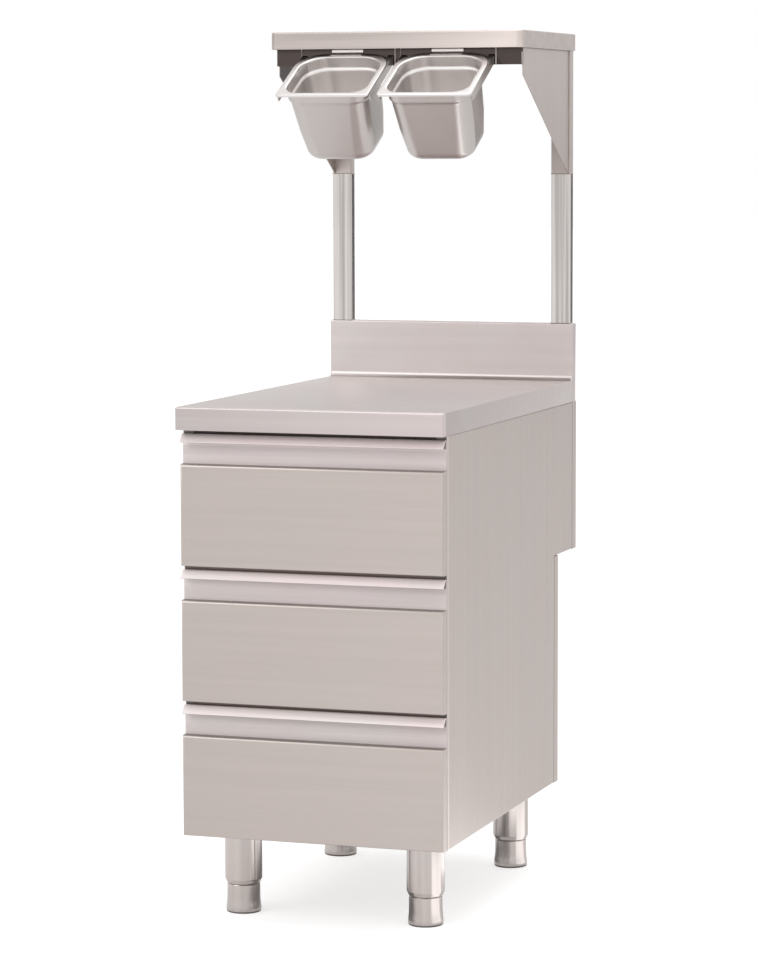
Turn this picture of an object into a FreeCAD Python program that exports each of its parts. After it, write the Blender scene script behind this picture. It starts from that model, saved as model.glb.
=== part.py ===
import FreeCAD, Part
import math
import os
import Sketcher

# A free-standing stainless condiment station: a narrow cabinet on four adjustable legs with three
# full-width drawers, a worktop with an upstand, and a gantry over it that carries a shelf and two
# tilted gastronorm pans.
#
# Frame: +X to the right, +Y to the back, +Z up. The origin is on the floor, under the middle of the
# outline. Depths named "from the face" are counted back from the flat face of the drawer fronts.

SIZES = {
    # carcass
    "body_width": 480,           # across the side panels
    "body_base": 152,            # floor to the underside of the carcass
    "lower_depth": 696,          # face to the back of the lower rear cover
    "step_depth": 121,           # the upper part reaches further back than the lower one
    "step_height": 580,          # floor to the underside of the deeper upper part
    "cover_depth": 28,           # fold depth of the rear covers
    "panel_fold": 20,            # fold depth of the side, bottom and step panels
    "wall": 1.5,                 # sheet thickness of the carcass, worktop and fronts
    "panel_bend": 3,             # outside radius of the side panels' front bend
    "weld_gap": 0.3,             # clearance between neighbouring folded pieces
    # cross rails and runner uprights
    "rail_height": 24,
    "rail_depth": 19,
    "rail_rise": 8.5,            # how far a rail stands above the bottom edge of the front over it
    "upright_width": 40,
    "front_upright": 60,         # face to the front upright
    "rear_upright": 128,         # back of the lower side panels to the rear upright's front
    # worktop
    "apron": 40,                 # height of the worktop's folded edge
    "front_overhang": 11,        # apron in front of the face
    "side_overhang": 2,          # apron outside the side panels
    "apron_return": 15,
    "worktop_bend": 3,
    "frame_flange": 30,          # width of the angle frame under the worktop
    "underlay": 12,              # thickness of the board under the worktop
    "upstand_setback": 14,       # upstand's back in front of the upper rear cover's back
    "upstand_thickness": 22,
    "upstand_height": 108,       # above the worktop
    "cove": 10,                  # radius where the worktop turns up into the upstand
    # drawer fronts
    "drawer_pitch": 236,
    "front_thickness": 17,
    "front_clearance": 2,        # between the fronts' backs and the carcass
    "front_side_gap": 1.5,       # each side, narrower than the carcass
    "front_gap": 7,              # between one front and what is over it
    "panel_height": 174,         # flat face of a front
    "ledge_rise": 9,             # slope from the face back to the finger recess
    "lip_reach": 6,              # grip lip in front of the face
    "lip_drop": 15,              # height of the grip lip's sloping face
    "lip_top": 11.5,             # face back to the lip's top bend
    "front_return": 14,          # fold behind the bottom edge
    "liner": 0.8,                # thickness of the plate that closes a front's back
    "liner_margin": 6,
    # drawer boxes and runners
    "box_wall": 1.2,
    "box_rear_gap": 60,          # behind a box, in front of the rear cover
    "box_height": 150,
    "box_base": 32,              # a front's bottom edge to the box's underside
    "box_hem": 7,
    "runner_thickness": 13,      # between a drawer box and the uprights
    "runner_height": 45,
    "runner_wall": 1.2,
    "runner_clearance": 0.5,
    "runner_rear_gap": 44,       # behind the runners, in front of the rear cover
    "middle_short": 40,          # the middle channel is shorter than the other two
    "runner_front": 24,          # face to the runners' front ends
    "runner_level": 100,         # a front's bottom edge to the runners' middle
    "runner_race": 9,            # width of the runners' top and bottom webs
    # legs and feet
    "leg_radius": 33,
    "leg_wall": 2,
    "leg_inset": 71,             # side of the carcass to a leg's axis
    "front_leg": 112,            # face to the front legs' axes
    "rear_leg": 74,              # back of the lower rear cover to the rear legs' axes
    "leg_cap": 3,                # thickness of the plate that closes a leg's top
    "foot_height": 52,           # floor to the leg's bottom ring
    "foot_radius": 31,
    "foot_gap": 1,
    "leg_neck": 30,              # radius of the leg's lower end
    "leg_neck_height": 8,
    "spindle_radius": 8,
    "spindle_clearance": 0.3,
    "spindle_length": 60,
    "leg_ring": 12,
    # gantry
    "gantry_height": 1548,       # floor to the top of the shelf
    "post_width": 38,
    "post_depth": 20,
    "post_inset": 3.5,           # side of the carcass to a post
    "shelf_depth": 348,
    "shelf_skirt": 31,
    "shelf_corner": 12,          # front corners, seen from above
    "shelf_back_corner": 4,
    "shelf_back_margin": 2,      # shelf's back behind the posts
    "gusset_inset": 7,           # side of the carcass to a gusset
    "gusset_thickness": 2,
    "gusset_depth": 298,         # a gusset's front edge in front of the posts
    "gusset_drop": 48,           # straight front edge below the shelf's skirt
    "gusset_height": 260,        # top of the shelf down to where the gusset's slope meets the post
    "pan_rail_depth": 10,
    "pan_rail_drop": 16,         # top of the shelf down to the pan rail
    "pan_rail_height": 45,
    # pans and their holders
    "pan_gap": 14.5,             # between the two pans' rims
    "pan_tilt": 28,              # degrees, opening towards the front
    "pan_clearance": 2.5,        # back edge of a pan's rim in front of the holder's plate
    "pan_drop": 39,              # top of the shelf down to the back edge of a pan's rim
    "pan_width": 176,
    "pan_length": 162,
    "pan_height": 150,
    "pan_rim": 11,
    "pan_rim_drop": 4,
    "pan_wall": 0.9,
    "pan_rim_corner": 8,         # front corners, seen from above
    "pan_rim_back_corner": 50,
    "pan_corner": 16,            # round edges of the walls and the bottom, below the shoulder
    "pan_shoulder": 24,          # depth of the stacking shoulder below the rim
    "pan_step": 2.5,             # inward step at the shoulder
    "pan_draft": 9,              # inward taper of each wall from the shoulder to the bottom
    "holder_plate": 2.5,
    "holder_margin": 1.5,        # plate beside a pan's rim, each side
    "holder_rise": 7,            # plate above the back edge of a pan's rim
    "arm_front_gap": 12,         # an arm ends behind the front edge of a pan's rim
    "arm_drop": 14,
    "arm_wall": 2,
    "arm_clearance": 0.3,
    "clip_width": 60,
    "clip_reach": 9,
    "clip_wall": 1.2,
}

DRAWERS = ["bottom", "middle", "top"]
SIDES = {"left": -1, "right": 1}

doc = FreeCAD.newDocument("condiment_station")
sheet = doc.addObject("Spreadsheet::Sheet", "sizes")
for row, (alias, number) in enumerate(SIZES.items(), start=1):
    sheet.set(f"A{row}", alias.replace("_", " "))
    sheet.set(f"B{row}", f"{number:g}")
    sheet.setAlias(f"B{row}", alias)
doc.recompute()


class Size:
    """A size with its present value and the expression that works it out from the sheet."""

    def __init__(self, value, text):
        self.value = value
        self.text = text

    def __add__(self, other):
        return joined(self, "+", other)

    def __radd__(self, other):
        return joined(other, "+", self)

    def __sub__(self, other):
        return joined(self, "-", other)

    def __rsub__(self, other):
        return joined(other, "-", self)

    def __mul__(self, other):
        return joined(self, "*", other)

    def __rmul__(self, other):
        return joined(other, "*", self)

    def __truediv__(self, other):
        return joined(self, "/", other)

    def __neg__(self):
        return joined(0, "-", self)


def as_size(number):
    """A bare number as a Size."""
    if isinstance(number, Size):
        return number
    return Size(float(number), f"({number:g})")


def joined(first, sign, second):
    """The Size of two sizes joined by an operator."""
    a = as_size(first)
    b = as_size(second)
    values = {
        "+": lambda: a.value + b.value,
        "-": lambda: a.value - b.value,
        "*": lambda: a.value * b.value,
        "/": lambda: a.value / b.value,
    }
    return Size(values[sign](), f"({a.text} {sign} {b.text})")


def size(alias):
    """A driving dimension from the sheet."""
    return Size(float(sheet.get(alias)), f"sizes.{alias}")


def sine(angle):
    return Size(math.sin(math.radians(angle.value)), f"sin({angle.text} * 1 deg)")


def cosine(angle):
    return Size(math.cos(math.radians(angle.value)), f"cos({angle.text} * 1 deg)")


# ---------------------------------------------------------------------------------------------
# Building blocks
# ---------------------------------------------------------------------------------------------

def new_body(label):
    """A PartDesign body that becomes one sub-part."""
    body = doc.addObject("PartDesign::Body", label)
    body.Label = label
    return body


def new_sketch(body, plane, at):
    """An empty sketch in one of the body's origin planes, moved along the plane's axis to "at"."""
    origin_plane = [f for f in body.Origin.OriginFeatures if f.Role == f"{plane}_Plane"][0]
    sketch = body.newObject("Sketcher::SketchObject", f"{body.Name}_sketch")
    sketch.AttachmentSupport = [(origin_plane, "")]
    sketch.MapMode = "FlatFace"
    # the XZ plane's own normal points to -Y
    along = -as_size(at) if plane == "XZ" else as_size(at)
    sketch.setExpression("AttachmentOffset.Base.z", along.text)
    return sketch


def pin_point(sketch, geometry, point, x, y):
    """Holds one point of a sketch at two bound distances from its origin."""
    for kind, place in (("DistanceX", as_size(x)), ("DistanceY", as_size(y))):
        index = sketch.addConstraint(Sketcher.Constraint(kind, -1, 1, geometry, point, place.value))
        sketch.setExpression(f"Constraints[{index}]", place.text)


def polygon(body, plane, at, points):
    """A closed outline of straight lines through the points."""
    sketch = new_sketch(body, plane, at)
    corners = [FreeCAD.Vector(as_size(x).value, as_size(y).value, 0) for x, y in points]
    following = corners[1:] + corners[:1]
    sketch.addGeometry([Part.LineSegment(a, b) for a, b in zip(corners, following)], False)
    last = len(points) - 1
    for index, (x, y) in enumerate(points):
        before = index - 1 if index else last
        sketch.addConstraint(Sketcher.Constraint("Coincident", before, 2, index, 1))
        pin_point(sketch, index, 1, x, y)
    return sketch


def rectangle(x_low, x_high, y_low, y_high):
    """The corners of a rectangle, anticlockwise."""
    return [(x_low, y_low), (x_high, y_low), (x_high, y_high), (x_low, y_high)]


def inset(points, margin):
    """An outline of level and upright lines, given anticlockwise, moved inwards by a margin."""
    def inward(start, end):
        along_x = as_size(end[0]).value - as_size(start[0]).value
        along_y = as_size(end[1]).value - as_size(start[1]).value
        if abs(along_x) > abs(along_y):
            return 0, math.copysign(1, along_x)
        return -math.copysign(1, along_y), 0

    moved = []
    for index, (x, y) in enumerate(points):
        before = inward(points[index - 1], points[index])
        after = inward(points[index], points[(index + 1) % len(points)])
        moved.append((x + margin * (before[0] + after[0]), y + margin * (before[1] + after[1])))
    return moved


def rounded_rectangle(body, plane, at, x_low, x_high, y_low, y_high, radius, back_radius=None):
    """A closed rectangle with round corners; the corners at y_high may have their own radius."""
    sketch = new_sketch(body, plane, at)
    draw_rounded(sketch, x_low, x_high, y_low, y_high, radius, back_radius or radius)
    return sketch


def draw_rounded(sketch, x_low, x_high, y_low, y_high, radius, back):
    """Draws a closed rectangle with round corners into a sketch."""
    stops = [
        (x_low + radius, y_low), (x_high - radius, y_low),
        (x_high, y_low + radius), (x_high, y_high - back),
        (x_high - back, y_high), (x_low + back, y_high),
        (x_low, y_high - back), (x_low, y_low + radius),
    ]
    centres = [
        (x_high - radius, y_low + radius), (x_high - back, y_high - back),
        (x_low + back, y_high - back), (x_low + radius, y_low + radius),
    ]
    radii = [radius, back, back, radius]
    at_stop = [FreeCAD.Vector(x.value, y.value, 0) for x, y in stops]
    quarter = math.pi / 2
    sides = len(centres)
    first = sketch.GeometryCount
    for side in range(sides):
        sketch.addGeometry(Part.LineSegment(at_stop[2 * side], at_stop[2 * side + 1]), False)
    for side, (x, y) in enumerate(centres):
        circle = Part.Circle(FreeCAD.Vector(x.value, y.value, 0), FreeCAD.Vector(0, 0, 1),
                             radii[side].value)
        start = (side - 1) * quarter
        sketch.addGeometry(Part.ArcOfCircle(circle, start, start + quarter), False)
    for side in range(sides):
        line = first + side
        arc = line + sides
        following = first + (side + 1) % sides
        sketch.addConstraint(Sketcher.Constraint("Coincident", line, 2, arc, 1))
        sketch.addConstraint(Sketcher.Constraint("Coincident", arc, 2, following, 1))
        pin_point(sketch, line, 1, *stops[2 * side])
        pin_point(sketch, line, 2, *stops[2 * side + 1])
        middle = as_size(centres[side][0])
        index = sketch.addConstraint(Sketcher.Constraint("DistanceX", -1, 1, arc, 3, middle.value))
        sketch.setExpression(f"Constraints[{index}]", middle.text)


def add(body, sketch, length):
    """Pads a sketch towards the positive side of its plane's axis."""
    pad = body.newObject("PartDesign::Pad", f"{body.Name}_pad")
    pad.Profile = sketch
    pad.Reversed = faces_negative(sketch)
    pad.setExpression("Length", as_size(length).text)
    return pad


def cut(body, sketch, length):
    """Pockets a sketch towards the positive side of its plane's axis."""
    pocket = body.newObject("PartDesign::Pocket", f"{body.Name}_pocket")
    pocket.Profile = sketch
    pocket.Reversed = not faces_negative(sketch)
    pocket.setExpression("Length", as_size(length).text)
    return pocket


def faces_negative(sketch):
    """Whether a sketch's plane has its normal on the negative side of its axis."""
    return sketch.AttachmentSupport[0][0].Role == "XZ_Plane"


def prism(body, plane, low, high, points):
    """Adds an outline's prism between two places along the plane's axis."""
    return add(body, polygon(body, plane, low, points), high - low)


def opening(body, plane, low, high, points):
    """Cuts an outline's prism between two places along the plane's axis."""
    return cut(body, polygon(body, plane, low, points), high - low)


def tray(label, plane, points, low, high, open_high, thickness):
    """A sheet with its edges folded up all round, open on one side."""
    body = new_body(label)
    prism(body, plane, low, high, points)
    if open_high:
        opening(body, plane, low + thickness, high, inset(points, thickness))
    else:
        opening(body, plane, low, high - thickness, inset(points, thickness))
    return body


def round_edges(body, radius, chosen):
    """Fillets the edges of the body's last feature that "chosen" picks."""
    doc.recompute()
    base = body.Tip
    names = [f"Edge{n}" for n, edge in enumerate(base.Shape.Edges, start=1) if chosen(edge)]
    fillet = body.newObject("PartDesign::Fillet", f"{body.Name}_bend")
    fillet.Base = (base, names)
    fillet.setExpression("Radius", as_size(radius).text)
    return fillet


def runs_through(edge, x=None, y=None, z=None):
    """Whether all of an edge lies at the given coordinates."""
    near = 1e-3
    for vertex in edge.Vertexes:
        place = vertex.Point
        for wanted, found in ((x, place.x), (y, place.y), (z, place.z)):
            if wanted is not None and abs(as_size(wanted).value - found) > near:
                return False
    return True


def touches(edge, level):
    """Whether an edge has an end at a level."""
    near = 1e-3
    return any(abs(vertex.Point.z - level.value) < near for vertex in edge.Vertexes)


def place(sub_part, x, y, z):
    """Binds a sub-part's place to the sheet."""
    for axis, distance in (("x", x), ("y", y), ("z", z)):
        sub_part.setExpression(f"Placement.Base.{axis}", as_size(distance).text)


def grouped(label, bodies):
    """Like pieces of one kind that share a sub-part, as separate solids."""
    group = doc.addObject("Part::Compound", label)
    group.Label = label
    group.Links = bodies
    return group


def turned(label, points):
    """A turned piece: an outline of radius and height, revolved about its own upright axis."""
    body = new_body(label)
    sketch = polygon(body, "XZ", 0, points)
    revolution = body.newObject("PartDesign::Revolution", f"{body.Name}_turning")
    revolution.Profile = sketch
    revolution.ReferenceAxis = (sketch, ["V_Axis"])
    revolution.Angle = 360
    return body


# ---------------------------------------------------------------------------------------------
# Shared planes
# ---------------------------------------------------------------------------------------------

wall = size("wall")
weld_gap = size("weld_gap")
fold = size("panel_fold")
half_width = size("body_width") / 2
upper_depth = size("lower_depth") + size("step_depth")
face = -(upper_depth - size("front_overhang")) / 2               # the drawer fronts' flat face
body_base = size("body_base")
body_top = body_base + len(DRAWERS) * size("drawer_pitch")
worktop_top = body_top + size("apron")
carcass_front = face + size("front_thickness") + size("front_clearance")
lower_back = face + size("lower_depth") - size("cover_depth")    # back of the side panels, below
upper_back = face + upper_depth - size("cover_depth")            # back of the side panels, above
inner_half = half_width - wall - weld_gap                        # what fits between the side panels
floor_level = body_base + wall                                   # underside of the bottom panel


# ---------------------------------------------------------------------------------------------
# Carcass
# ---------------------------------------------------------------------------------------------

def side_panel(label, side):
    """A stepped side, folded inwards along every edge."""
    outline = [
        (carcass_front, body_base),
        (lower_back, body_base),
        (lower_back, size("step_height")),
        (upper_back, size("step_height")),
        (upper_back, body_top),
        (carcass_front, body_top),
    ]
    outer = side * half_width
    low = outer - fold if side > 0 else outer
    panel = tray(label, "YZ", outline, low, low + fold, side < 0, wall)
    round_edges(panel, size("panel_bend"), lambda edge: runs_through(edge, x=outer, y=carcass_front))
    return panel


def rear_cover(label, bottom, top, back):
    """A shallow tray that closes the back, with its folds to the front."""
    outline = rectangle(-half_width, half_width, bottom, top)
    cover = tray(label, "XZ", outline, back, back + size("cover_depth"), False, wall)
    for side in SIDES.values():
        corner = side * half_width
        round_edges(cover, size("panel_bend"),
                    lambda edge: runs_through(edge, x=corner, y=back + size("cover_depth")))
    return cover


def cross_rail(label, top):
    """A channel across the front, open to the back, behind the gap between two fronts."""
    front = carcass_front + wall + weld_gap
    back = front + size("rail_depth")
    bottom = top - size("rail_height")
    body = new_body(label)
    prism(body, "YZ", -inner_half, inner_half, [
        (front, bottom), (back, bottom), (back, bottom + wall), (front + wall, bottom + wall),
        (front + wall, top - wall), (back, top - wall), (back, top), (front, top),
    ])
    return body


def runner_uprights(label, side):
    """Two upright channels that carry the runners of one side."""
    near = half_width - fold
    far = inner_half - wall - weld_gap
    bottom = floor_level + wall
    top = body_top - wall
    body = new_body(label)
    for low in (face + size("front_upright"), lower_back - size("rear_upright")):
        high = low + size("upright_width")
        section = [
            (near, low), (far, low), (far, low + wall), (near + wall, low + wall),
            (near + wall, high - wall), (far, high - wall), (far, high), (near, high),
        ]
        prism(body, "XY", bottom, top, [(side * x, y) for x, y in section])
    return body


def carcass():
    for name, side in SIDES.items():
        side_panel(f"{name}_side_panel", side)
        runner_uprights(f"{name}_runner_uprights", side)
    rear_cover("lower_back_cover", body_base, size("step_height") - weld_gap, lower_back)
    rear_cover("upper_back_cover", size("step_height"), body_top, upper_back)
    bottom = rectangle(-inner_half, inner_half,
                       carcass_front + wall + weld_gap, lower_back - wall - weld_gap)
    tray("bottom_panel", "XY", bottom, floor_level, floor_level + fold, True, wall)
    step_level = size("step_height") + wall
    step = rectangle(-inner_half, inner_half, lower_back + weld_gap, upper_back - wall - weld_gap)
    tray("step_panel", "XY", step, step_level, step_level + fold, True, wall)
    rail_rise = size("rail_rise")
    cross_rail("lower_cross_rail", body_base + size("drawer_pitch") + rail_rise)
    cross_rail("upper_cross_rail", body_base + 2 * size("drawer_pitch") + rail_rise)
    cross_rail("top_cross_rail", body_top - wall - weld_gap)


def top_frame():
    """The angle frame between the carcass and the worktop."""
    outline = rectangle(-half_width, half_width, carcass_front, upper_back)
    frame = tray("top_frame", "XY", outline, body_top, worktop_top - wall, False, wall)
    opening(frame, "XY", body_top, worktop_top, inset(outline, size("frame_flange")))


# ---------------------------------------------------------------------------------------------
# Worktop
# ---------------------------------------------------------------------------------------------

upstand_back = face + upper_depth - size("upstand_setback")
upstand_front = upstand_back - size("upstand_thickness")
upstand_top = worktop_top + size("upstand_height")
worktop_front = face - size("front_overhang")
worktop_half = half_width + size("side_overhang")


def worktop():
    """One folded sheet: apron, worktop, coved upstand, with closed ends."""
    body = new_body("worktop")
    outline = [
        (worktop_front, body_top), (upstand_back, body_top), (upstand_back, upstand_top),
        (upstand_front, upstand_top), (upstand_front, worktop_top), (worktop_front, worktop_top),
    ]
    prism(body, "YZ", -worktop_half, worktop_half, outline)
    round_edges(body, size("cove"),
                lambda edge: runs_through(edge, y=upstand_front, z=worktop_top))
    round_edges(body, size("worktop_bend"), lambda edge: outside_bend(edge))
    hollow = inset(outline, wall)
    hollow[0] = (hollow[0][0], body_top)
    hollow[1] = (hollow[1][0], body_top)
    opening(body, "YZ", wall - worktop_half, worktop_half - wall, hollow)
    back_fold = worktop_front + size("apron_return")
    prism(body, "YZ", wall - worktop_half, worktop_half - wall,
          rectangle(worktop_front + wall, back_fold, body_top, body_top + wall))


def outside_bend(edge):
    """The worktop's bends: front top edge, front corners and the upstand's top edges."""
    if runs_through(edge, y=worktop_front, z=worktop_top):
        return True
    if runs_through(edge, y=upstand_front, z=upstand_top):
        return True
    for side in SIDES.values():
        if runs_through(edge, x=side * worktop_half, y=worktop_front):
            return True
    return False


def worktop_underlay():
    """The board glued under the worktop, inside the angle frame."""
    margin = size("frame_flange") + weld_gap
    outline = rectangle(-half_width, half_width, carcass_front, upper_back)
    body = new_body("worktop_underlay")
    top = worktop_top - wall
    prism(body, "XY", top - size("underlay"), top, inset(outline, margin))


# ---------------------------------------------------------------------------------------------
# Drawers
# ---------------------------------------------------------------------------------------------

front_half = half_width - size("front_side_gap")
box_half = half_width - fold - size("runner_thickness")
box_front = face + size("front_thickness") + size("liner")


def drawer_front(label, bottom):
    """The folded front: face, ledge, finger recess and a grip lip that leans out over it."""
    back = face + size("front_thickness")
    ledge = bottom + size("panel_height")
    recess = ledge + size("ledge_rise")
    top = bottom + size("drawer_pitch") - size("front_gap")
    lip_edge = face - size("lip_reach")
    lip_bend = face + size("lip_top")
    lip_level = top - size("lip_drop")
    body = new_body(label)
    prism(body, "YZ", -front_half, front_half, [
        (back, bottom + size("front_return")),
        (back, bottom),
        (face, bottom),
        (face, ledge),
        (back - wall, recess),
        (back - wall, top - wall),
        (lip_bend + wall / 3, top - wall),
        (lip_edge + wall * 2 / 3, lip_level - wall * 2 / 3),
        (lip_edge, lip_level),
        (lip_bend, top),
        (back, top),
        (back, recess - wall * 2 / 3),
        (face + wall, ledge - wall * 2 / 3),
        (face + wall, bottom + wall),
        (back - wall, bottom + wall),
        (back - wall, bottom + size("front_return")),
    ])
    for low in (-front_half, front_half - wall):
        prism(body, "YZ", low, low + wall,
              [(face, bottom), (back, bottom), (back, recess), (back - wall, recess), (face, ledge)])
    return body


def drawer_liner(label, bottom):
    """The plate that closes a front's back and carries the box."""
    body = new_body(label)
    margin = size("liner_margin")
    back = face + size("front_thickness")
    high = bottom + size("drawer_pitch") - size("front_gap") - margin
    outline = rectangle(margin - front_half, front_half - margin, bottom + margin, high)
    prism(body, "XZ", back, back + size("liner"), outline)
    return body


def drawer_box(label, bottom):
    """A folded box, open at the top, with its edge hemmed inwards."""
    low = bottom + size("box_base")
    high = low + size("box_height")
    thickness = size("box_wall")
    outline = rectangle(-box_half, box_half, box_front, lower_back - size("box_rear_gap"))
    box = tray(label, "XY", outline, low, high, True, thickness)
    hem = size("box_hem")
    prism(box, "XY", high - thickness, high, outline)
    opening(box, "XY", high - thickness, high, inset(outline, hem))
    return box


def runner(label, side, level, length, web, depth, height, opens_out):
    """One channel of a telescopic runner; "web" is the outside of its web, from the middle."""
    thickness = size("runner_wall")
    toward = 1 if opens_out else -1
    half = height / 2
    inside = web + toward * thickness
    tip = web + toward * depth
    section = [
        (web, level - half), (tip, level - half), (tip, level - half + thickness),
        (inside, level - half + thickness), (inside, level + half - thickness),
        (tip, level + half - thickness), (tip, level + half), (web, level + half),
    ]
    body = new_body(label)
    start = face + size("runner_front")
    prism(body, "XZ", start, start + length, [(side * x, z) for x, z in section])
    return body


def drawer(name, bottom):
    drawer_front(f"{name}_drawer_front", bottom)
    drawer_liner(f"{name}_drawer_liner", bottom)
    drawer_box(f"{name}_drawer_box", bottom)
    clearance = size("runner_clearance")
    thickness = size("runner_wall")
    level = bottom + size("runner_level")
    outer_web = half_width - fold
    middle_web = outer_web - thickness - clearance
    inner_depth = middle_web - thickness - clearance - box_half
    nesting = 2 * (thickness + clearance)
    length = lower_back - size("runner_rear_gap") - face - size("runner_front")
    for hand, side in SIDES.items():
        runner(f"{name}_outer_runner_{hand}", side, level, length,
               outer_web, size("runner_race"), size("runner_height"), False)
        runner(f"{name}_middle_runner_{hand}", side, level, length - size("middle_short"),
               middle_web, size("runner_race") - clearance, size("runner_height") - nesting, False)
        runner(f"{name}_inner_runner_{hand}", side, level, length,
               box_half, inner_depth, size("runner_height") - 2 * nesting, True)


# ---------------------------------------------------------------------------------------------
# Legs
# ---------------------------------------------------------------------------------------------

def leg(label):
    """A tube, closed on top, with a narrower, bored ring in its lower end."""
    radius = size("leg_radius")
    bore = radius - size("leg_wall")
    hole = size("spindle_radius") + size("spindle_clearance")
    low = size("foot_height")
    shoulder = low + size("leg_neck_height")
    ring_top = low + size("leg_ring")
    cap_bottom = floor_level - size("leg_cap")
    return turned(label, [
        (hole, low), (size("leg_neck"), low), (size("leg_neck"), shoulder), (radius, shoulder),
        (radius, floor_level), (as_size(0), floor_level), (as_size(0), cap_bottom),
        (bore, cap_bottom), (bore, ring_top), (hole, ring_top),
    ])


def foot(label):
    """A screw foot: a round base and a spindle up into the leg."""
    top = size("foot_height") - size("foot_gap")
    radius = size("foot_radius")
    spindle = size("spindle_radius")
    return turned(label, [
        (as_size(0), as_size(0)), (radius, as_size(0)), (radius, top), (spindle, top),
        (spindle, top + size("spindle_length")), (as_size(0), top + size("spindle_length")),
    ])


def legs():
    """Four legs, grouped as one sub-part, and their feet."""
    across = half_width - size("leg_inset")
    tubes = []
    for row, depth in (("front", size("front_leg")), ("rear", size("lower_depth") - size("rear_leg"))):
        for hand, side in SIDES.items():
            tube = leg("leg_tube")
            tubes.append(tube)
            for piece in (tube, foot(f"{row}_{hand}_foot")):
                place(piece, side * across, face + depth, 0)
    return grouped("legs", tubes)


# ---------------------------------------------------------------------------------------------
# Gantry
# ---------------------------------------------------------------------------------------------

shelf_top = size("gantry_height")
shelf_inside = shelf_top - wall
post_front = upstand_front + (size("upstand_thickness") - size("post_depth")) / 2
post_back = post_front + size("post_depth")
gusset_outer = half_width - size("gusset_inset")
gusset_front = post_front - size("gusset_depth")
rail_face = gusset_front - size("pan_rail_depth")
rail_top = shelf_top - size("pan_rail_drop")
rail_bottom = rail_top - size("pan_rail_height")
plate_front = rail_face - size("holder_plate")
pan_back = plate_front - size("pan_clearance")
pan_level = shelf_top - size("pan_drop")
plate_top = pan_level + size("holder_rise")
pan_across = (size("pan_width") + size("pan_gap")) / 2


def post(label, side):
    """A rectangular tube from the upstand to the shelf."""
    outer = half_width - size("post_inset")
    inner = outer - size("post_width")
    low, high = (inner, outer) if side > 0 else (-outer, -inner)
    outline = rectangle(low, high, post_front, post_back)
    body = new_body(label)
    prism(body, "XY", upstand_top, shelf_inside, outline)
    opening(body, "XY", upstand_top, shelf_inside, inset(outline, wall))
    return body


def shelf():
    """A tray turned upside down, with round corners."""
    body = new_body("shelf")
    bottom = shelf_top - size("shelf_skirt")
    radius = size("shelf_corner")
    back_radius = size("shelf_back_corner")
    back = post_back + size("shelf_back_margin")
    front = back - size("shelf_depth")
    add(body, rounded_rectangle(body, "XY", bottom, -half_width, half_width, front, back,
                                radius, back_radius),
        shelf_top - bottom)
    cut(body, rounded_rectangle(body, "XY", bottom, wall - half_width, half_width - wall,
                                front + wall, back - wall, radius - wall, back_radius - wall),
        shelf_inside - bottom)
    return body


def gusset(label, side):
    """A side plate from the shelf down to the post."""
    thickness = size("gusset_thickness")
    outer = side * gusset_outer
    low = outer - thickness if side > 0 else outer
    straight_end = shelf_top - size("shelf_skirt") - size("gusset_drop")
    body = new_body(label)
    prism(body, "YZ", low, low + thickness, [
        (gusset_front, straight_end), (post_front, shelf_top - size("gusset_height")),
        (post_front, shelf_inside), (gusset_front, shelf_inside),
    ])
    return body


def pan_rail():
    """The channel across the gantry that the pan holders hang on."""
    back = gusset_front
    low = rail_bottom
    high = rail_top
    body = new_body("pan_rail")
    prism(body, "YZ", -gusset_outer, gusset_outer, [
        (rail_face, low), (back, low), (back, low + wall), (rail_face + wall, low + wall),
        (rail_face + wall, high - wall), (back, high - wall), (back, high), (rail_face, high),
    ])


# A pan is drawn level, with the origin at the middle of the rim's back edge, and is then tilted
# about that edge.

def tilt(sub_part, across):
    """Sets a level pan at its place and tilt."""
    sub_part.Placement.Rotation = FreeCAD.Rotation(FreeCAD.Vector(1, 0, 0), SIZES["pan_tilt"])
    sub_part.setExpression("Placement.Rotation.Angle", f"{size('pan_tilt').text} * 1 deg")
    place(sub_part, across, pan_back, pan_level)


def pan_outline(margin, front_corner, back_corner):
    """The sides and corner radii of a level outline inside a pan's rim, a margin from its edge."""
    half = size("pan_width") / 2
    front = margin - size("pan_length")
    return margin - half, half - margin, front, 0 - margin, front_corner, back_corner


def tapered_block(body, low, high, low_margin, high_margin):
    """A block that narrows downwards, with its margins from the rim's edge at both ends."""
    half = size("pan_width") / 2
    length = size("pan_length")
    block = body.newObject("PartDesign::AdditiveWedge", f"{body.Name}_block")
    # a wedge is drawn along its own Y axis; here that points up, and its Z axis to the front
    block.Placement.Rotation = FreeCAD.Rotation(FreeCAD.Vector(1, 0, 0), 90)
    for name, reach in (
            ("Ymin", low), ("Ymax", high),
            ("Xmin", low_margin - half), ("Xmax", half - low_margin),
            ("Zmin", low_margin), ("Zmax", length - low_margin),
            ("X2min", high_margin - half), ("X2max", half - high_margin),
            ("Z2min", high_margin), ("Z2max", length - high_margin)):
        setattr(block, name, reach.value)
        block.setExpression(name, reach.text)


def pan_form(label, inwards):
    """The form of a pan without its rim, moved inwards by a wall."""
    shoulder = inwards - size("pan_shoulder")
    bottom = inwards - size("pan_height")
    mouth = size("pan_rim") + inwards
    step = mouth + size("pan_step")
    corner = size("pan_corner") - inwards
    body = new_body(label)
    tapered_block(body, bottom, shoulder, step + size("pan_draft"), step)
    round_edges(body, corner, lambda edge: touches(edge, bottom))
    sketch = new_sketch(body, "XY", shoulder)
    # the corners over the shoulder stay outside those below it
    mouth_corner = corner + 3 * size("pan_step")
    draw_rounded(sketch, *pan_outline(mouth, mouth_corner, mouth_corner))
    add(body, sketch, -shoulder)
    return body


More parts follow.
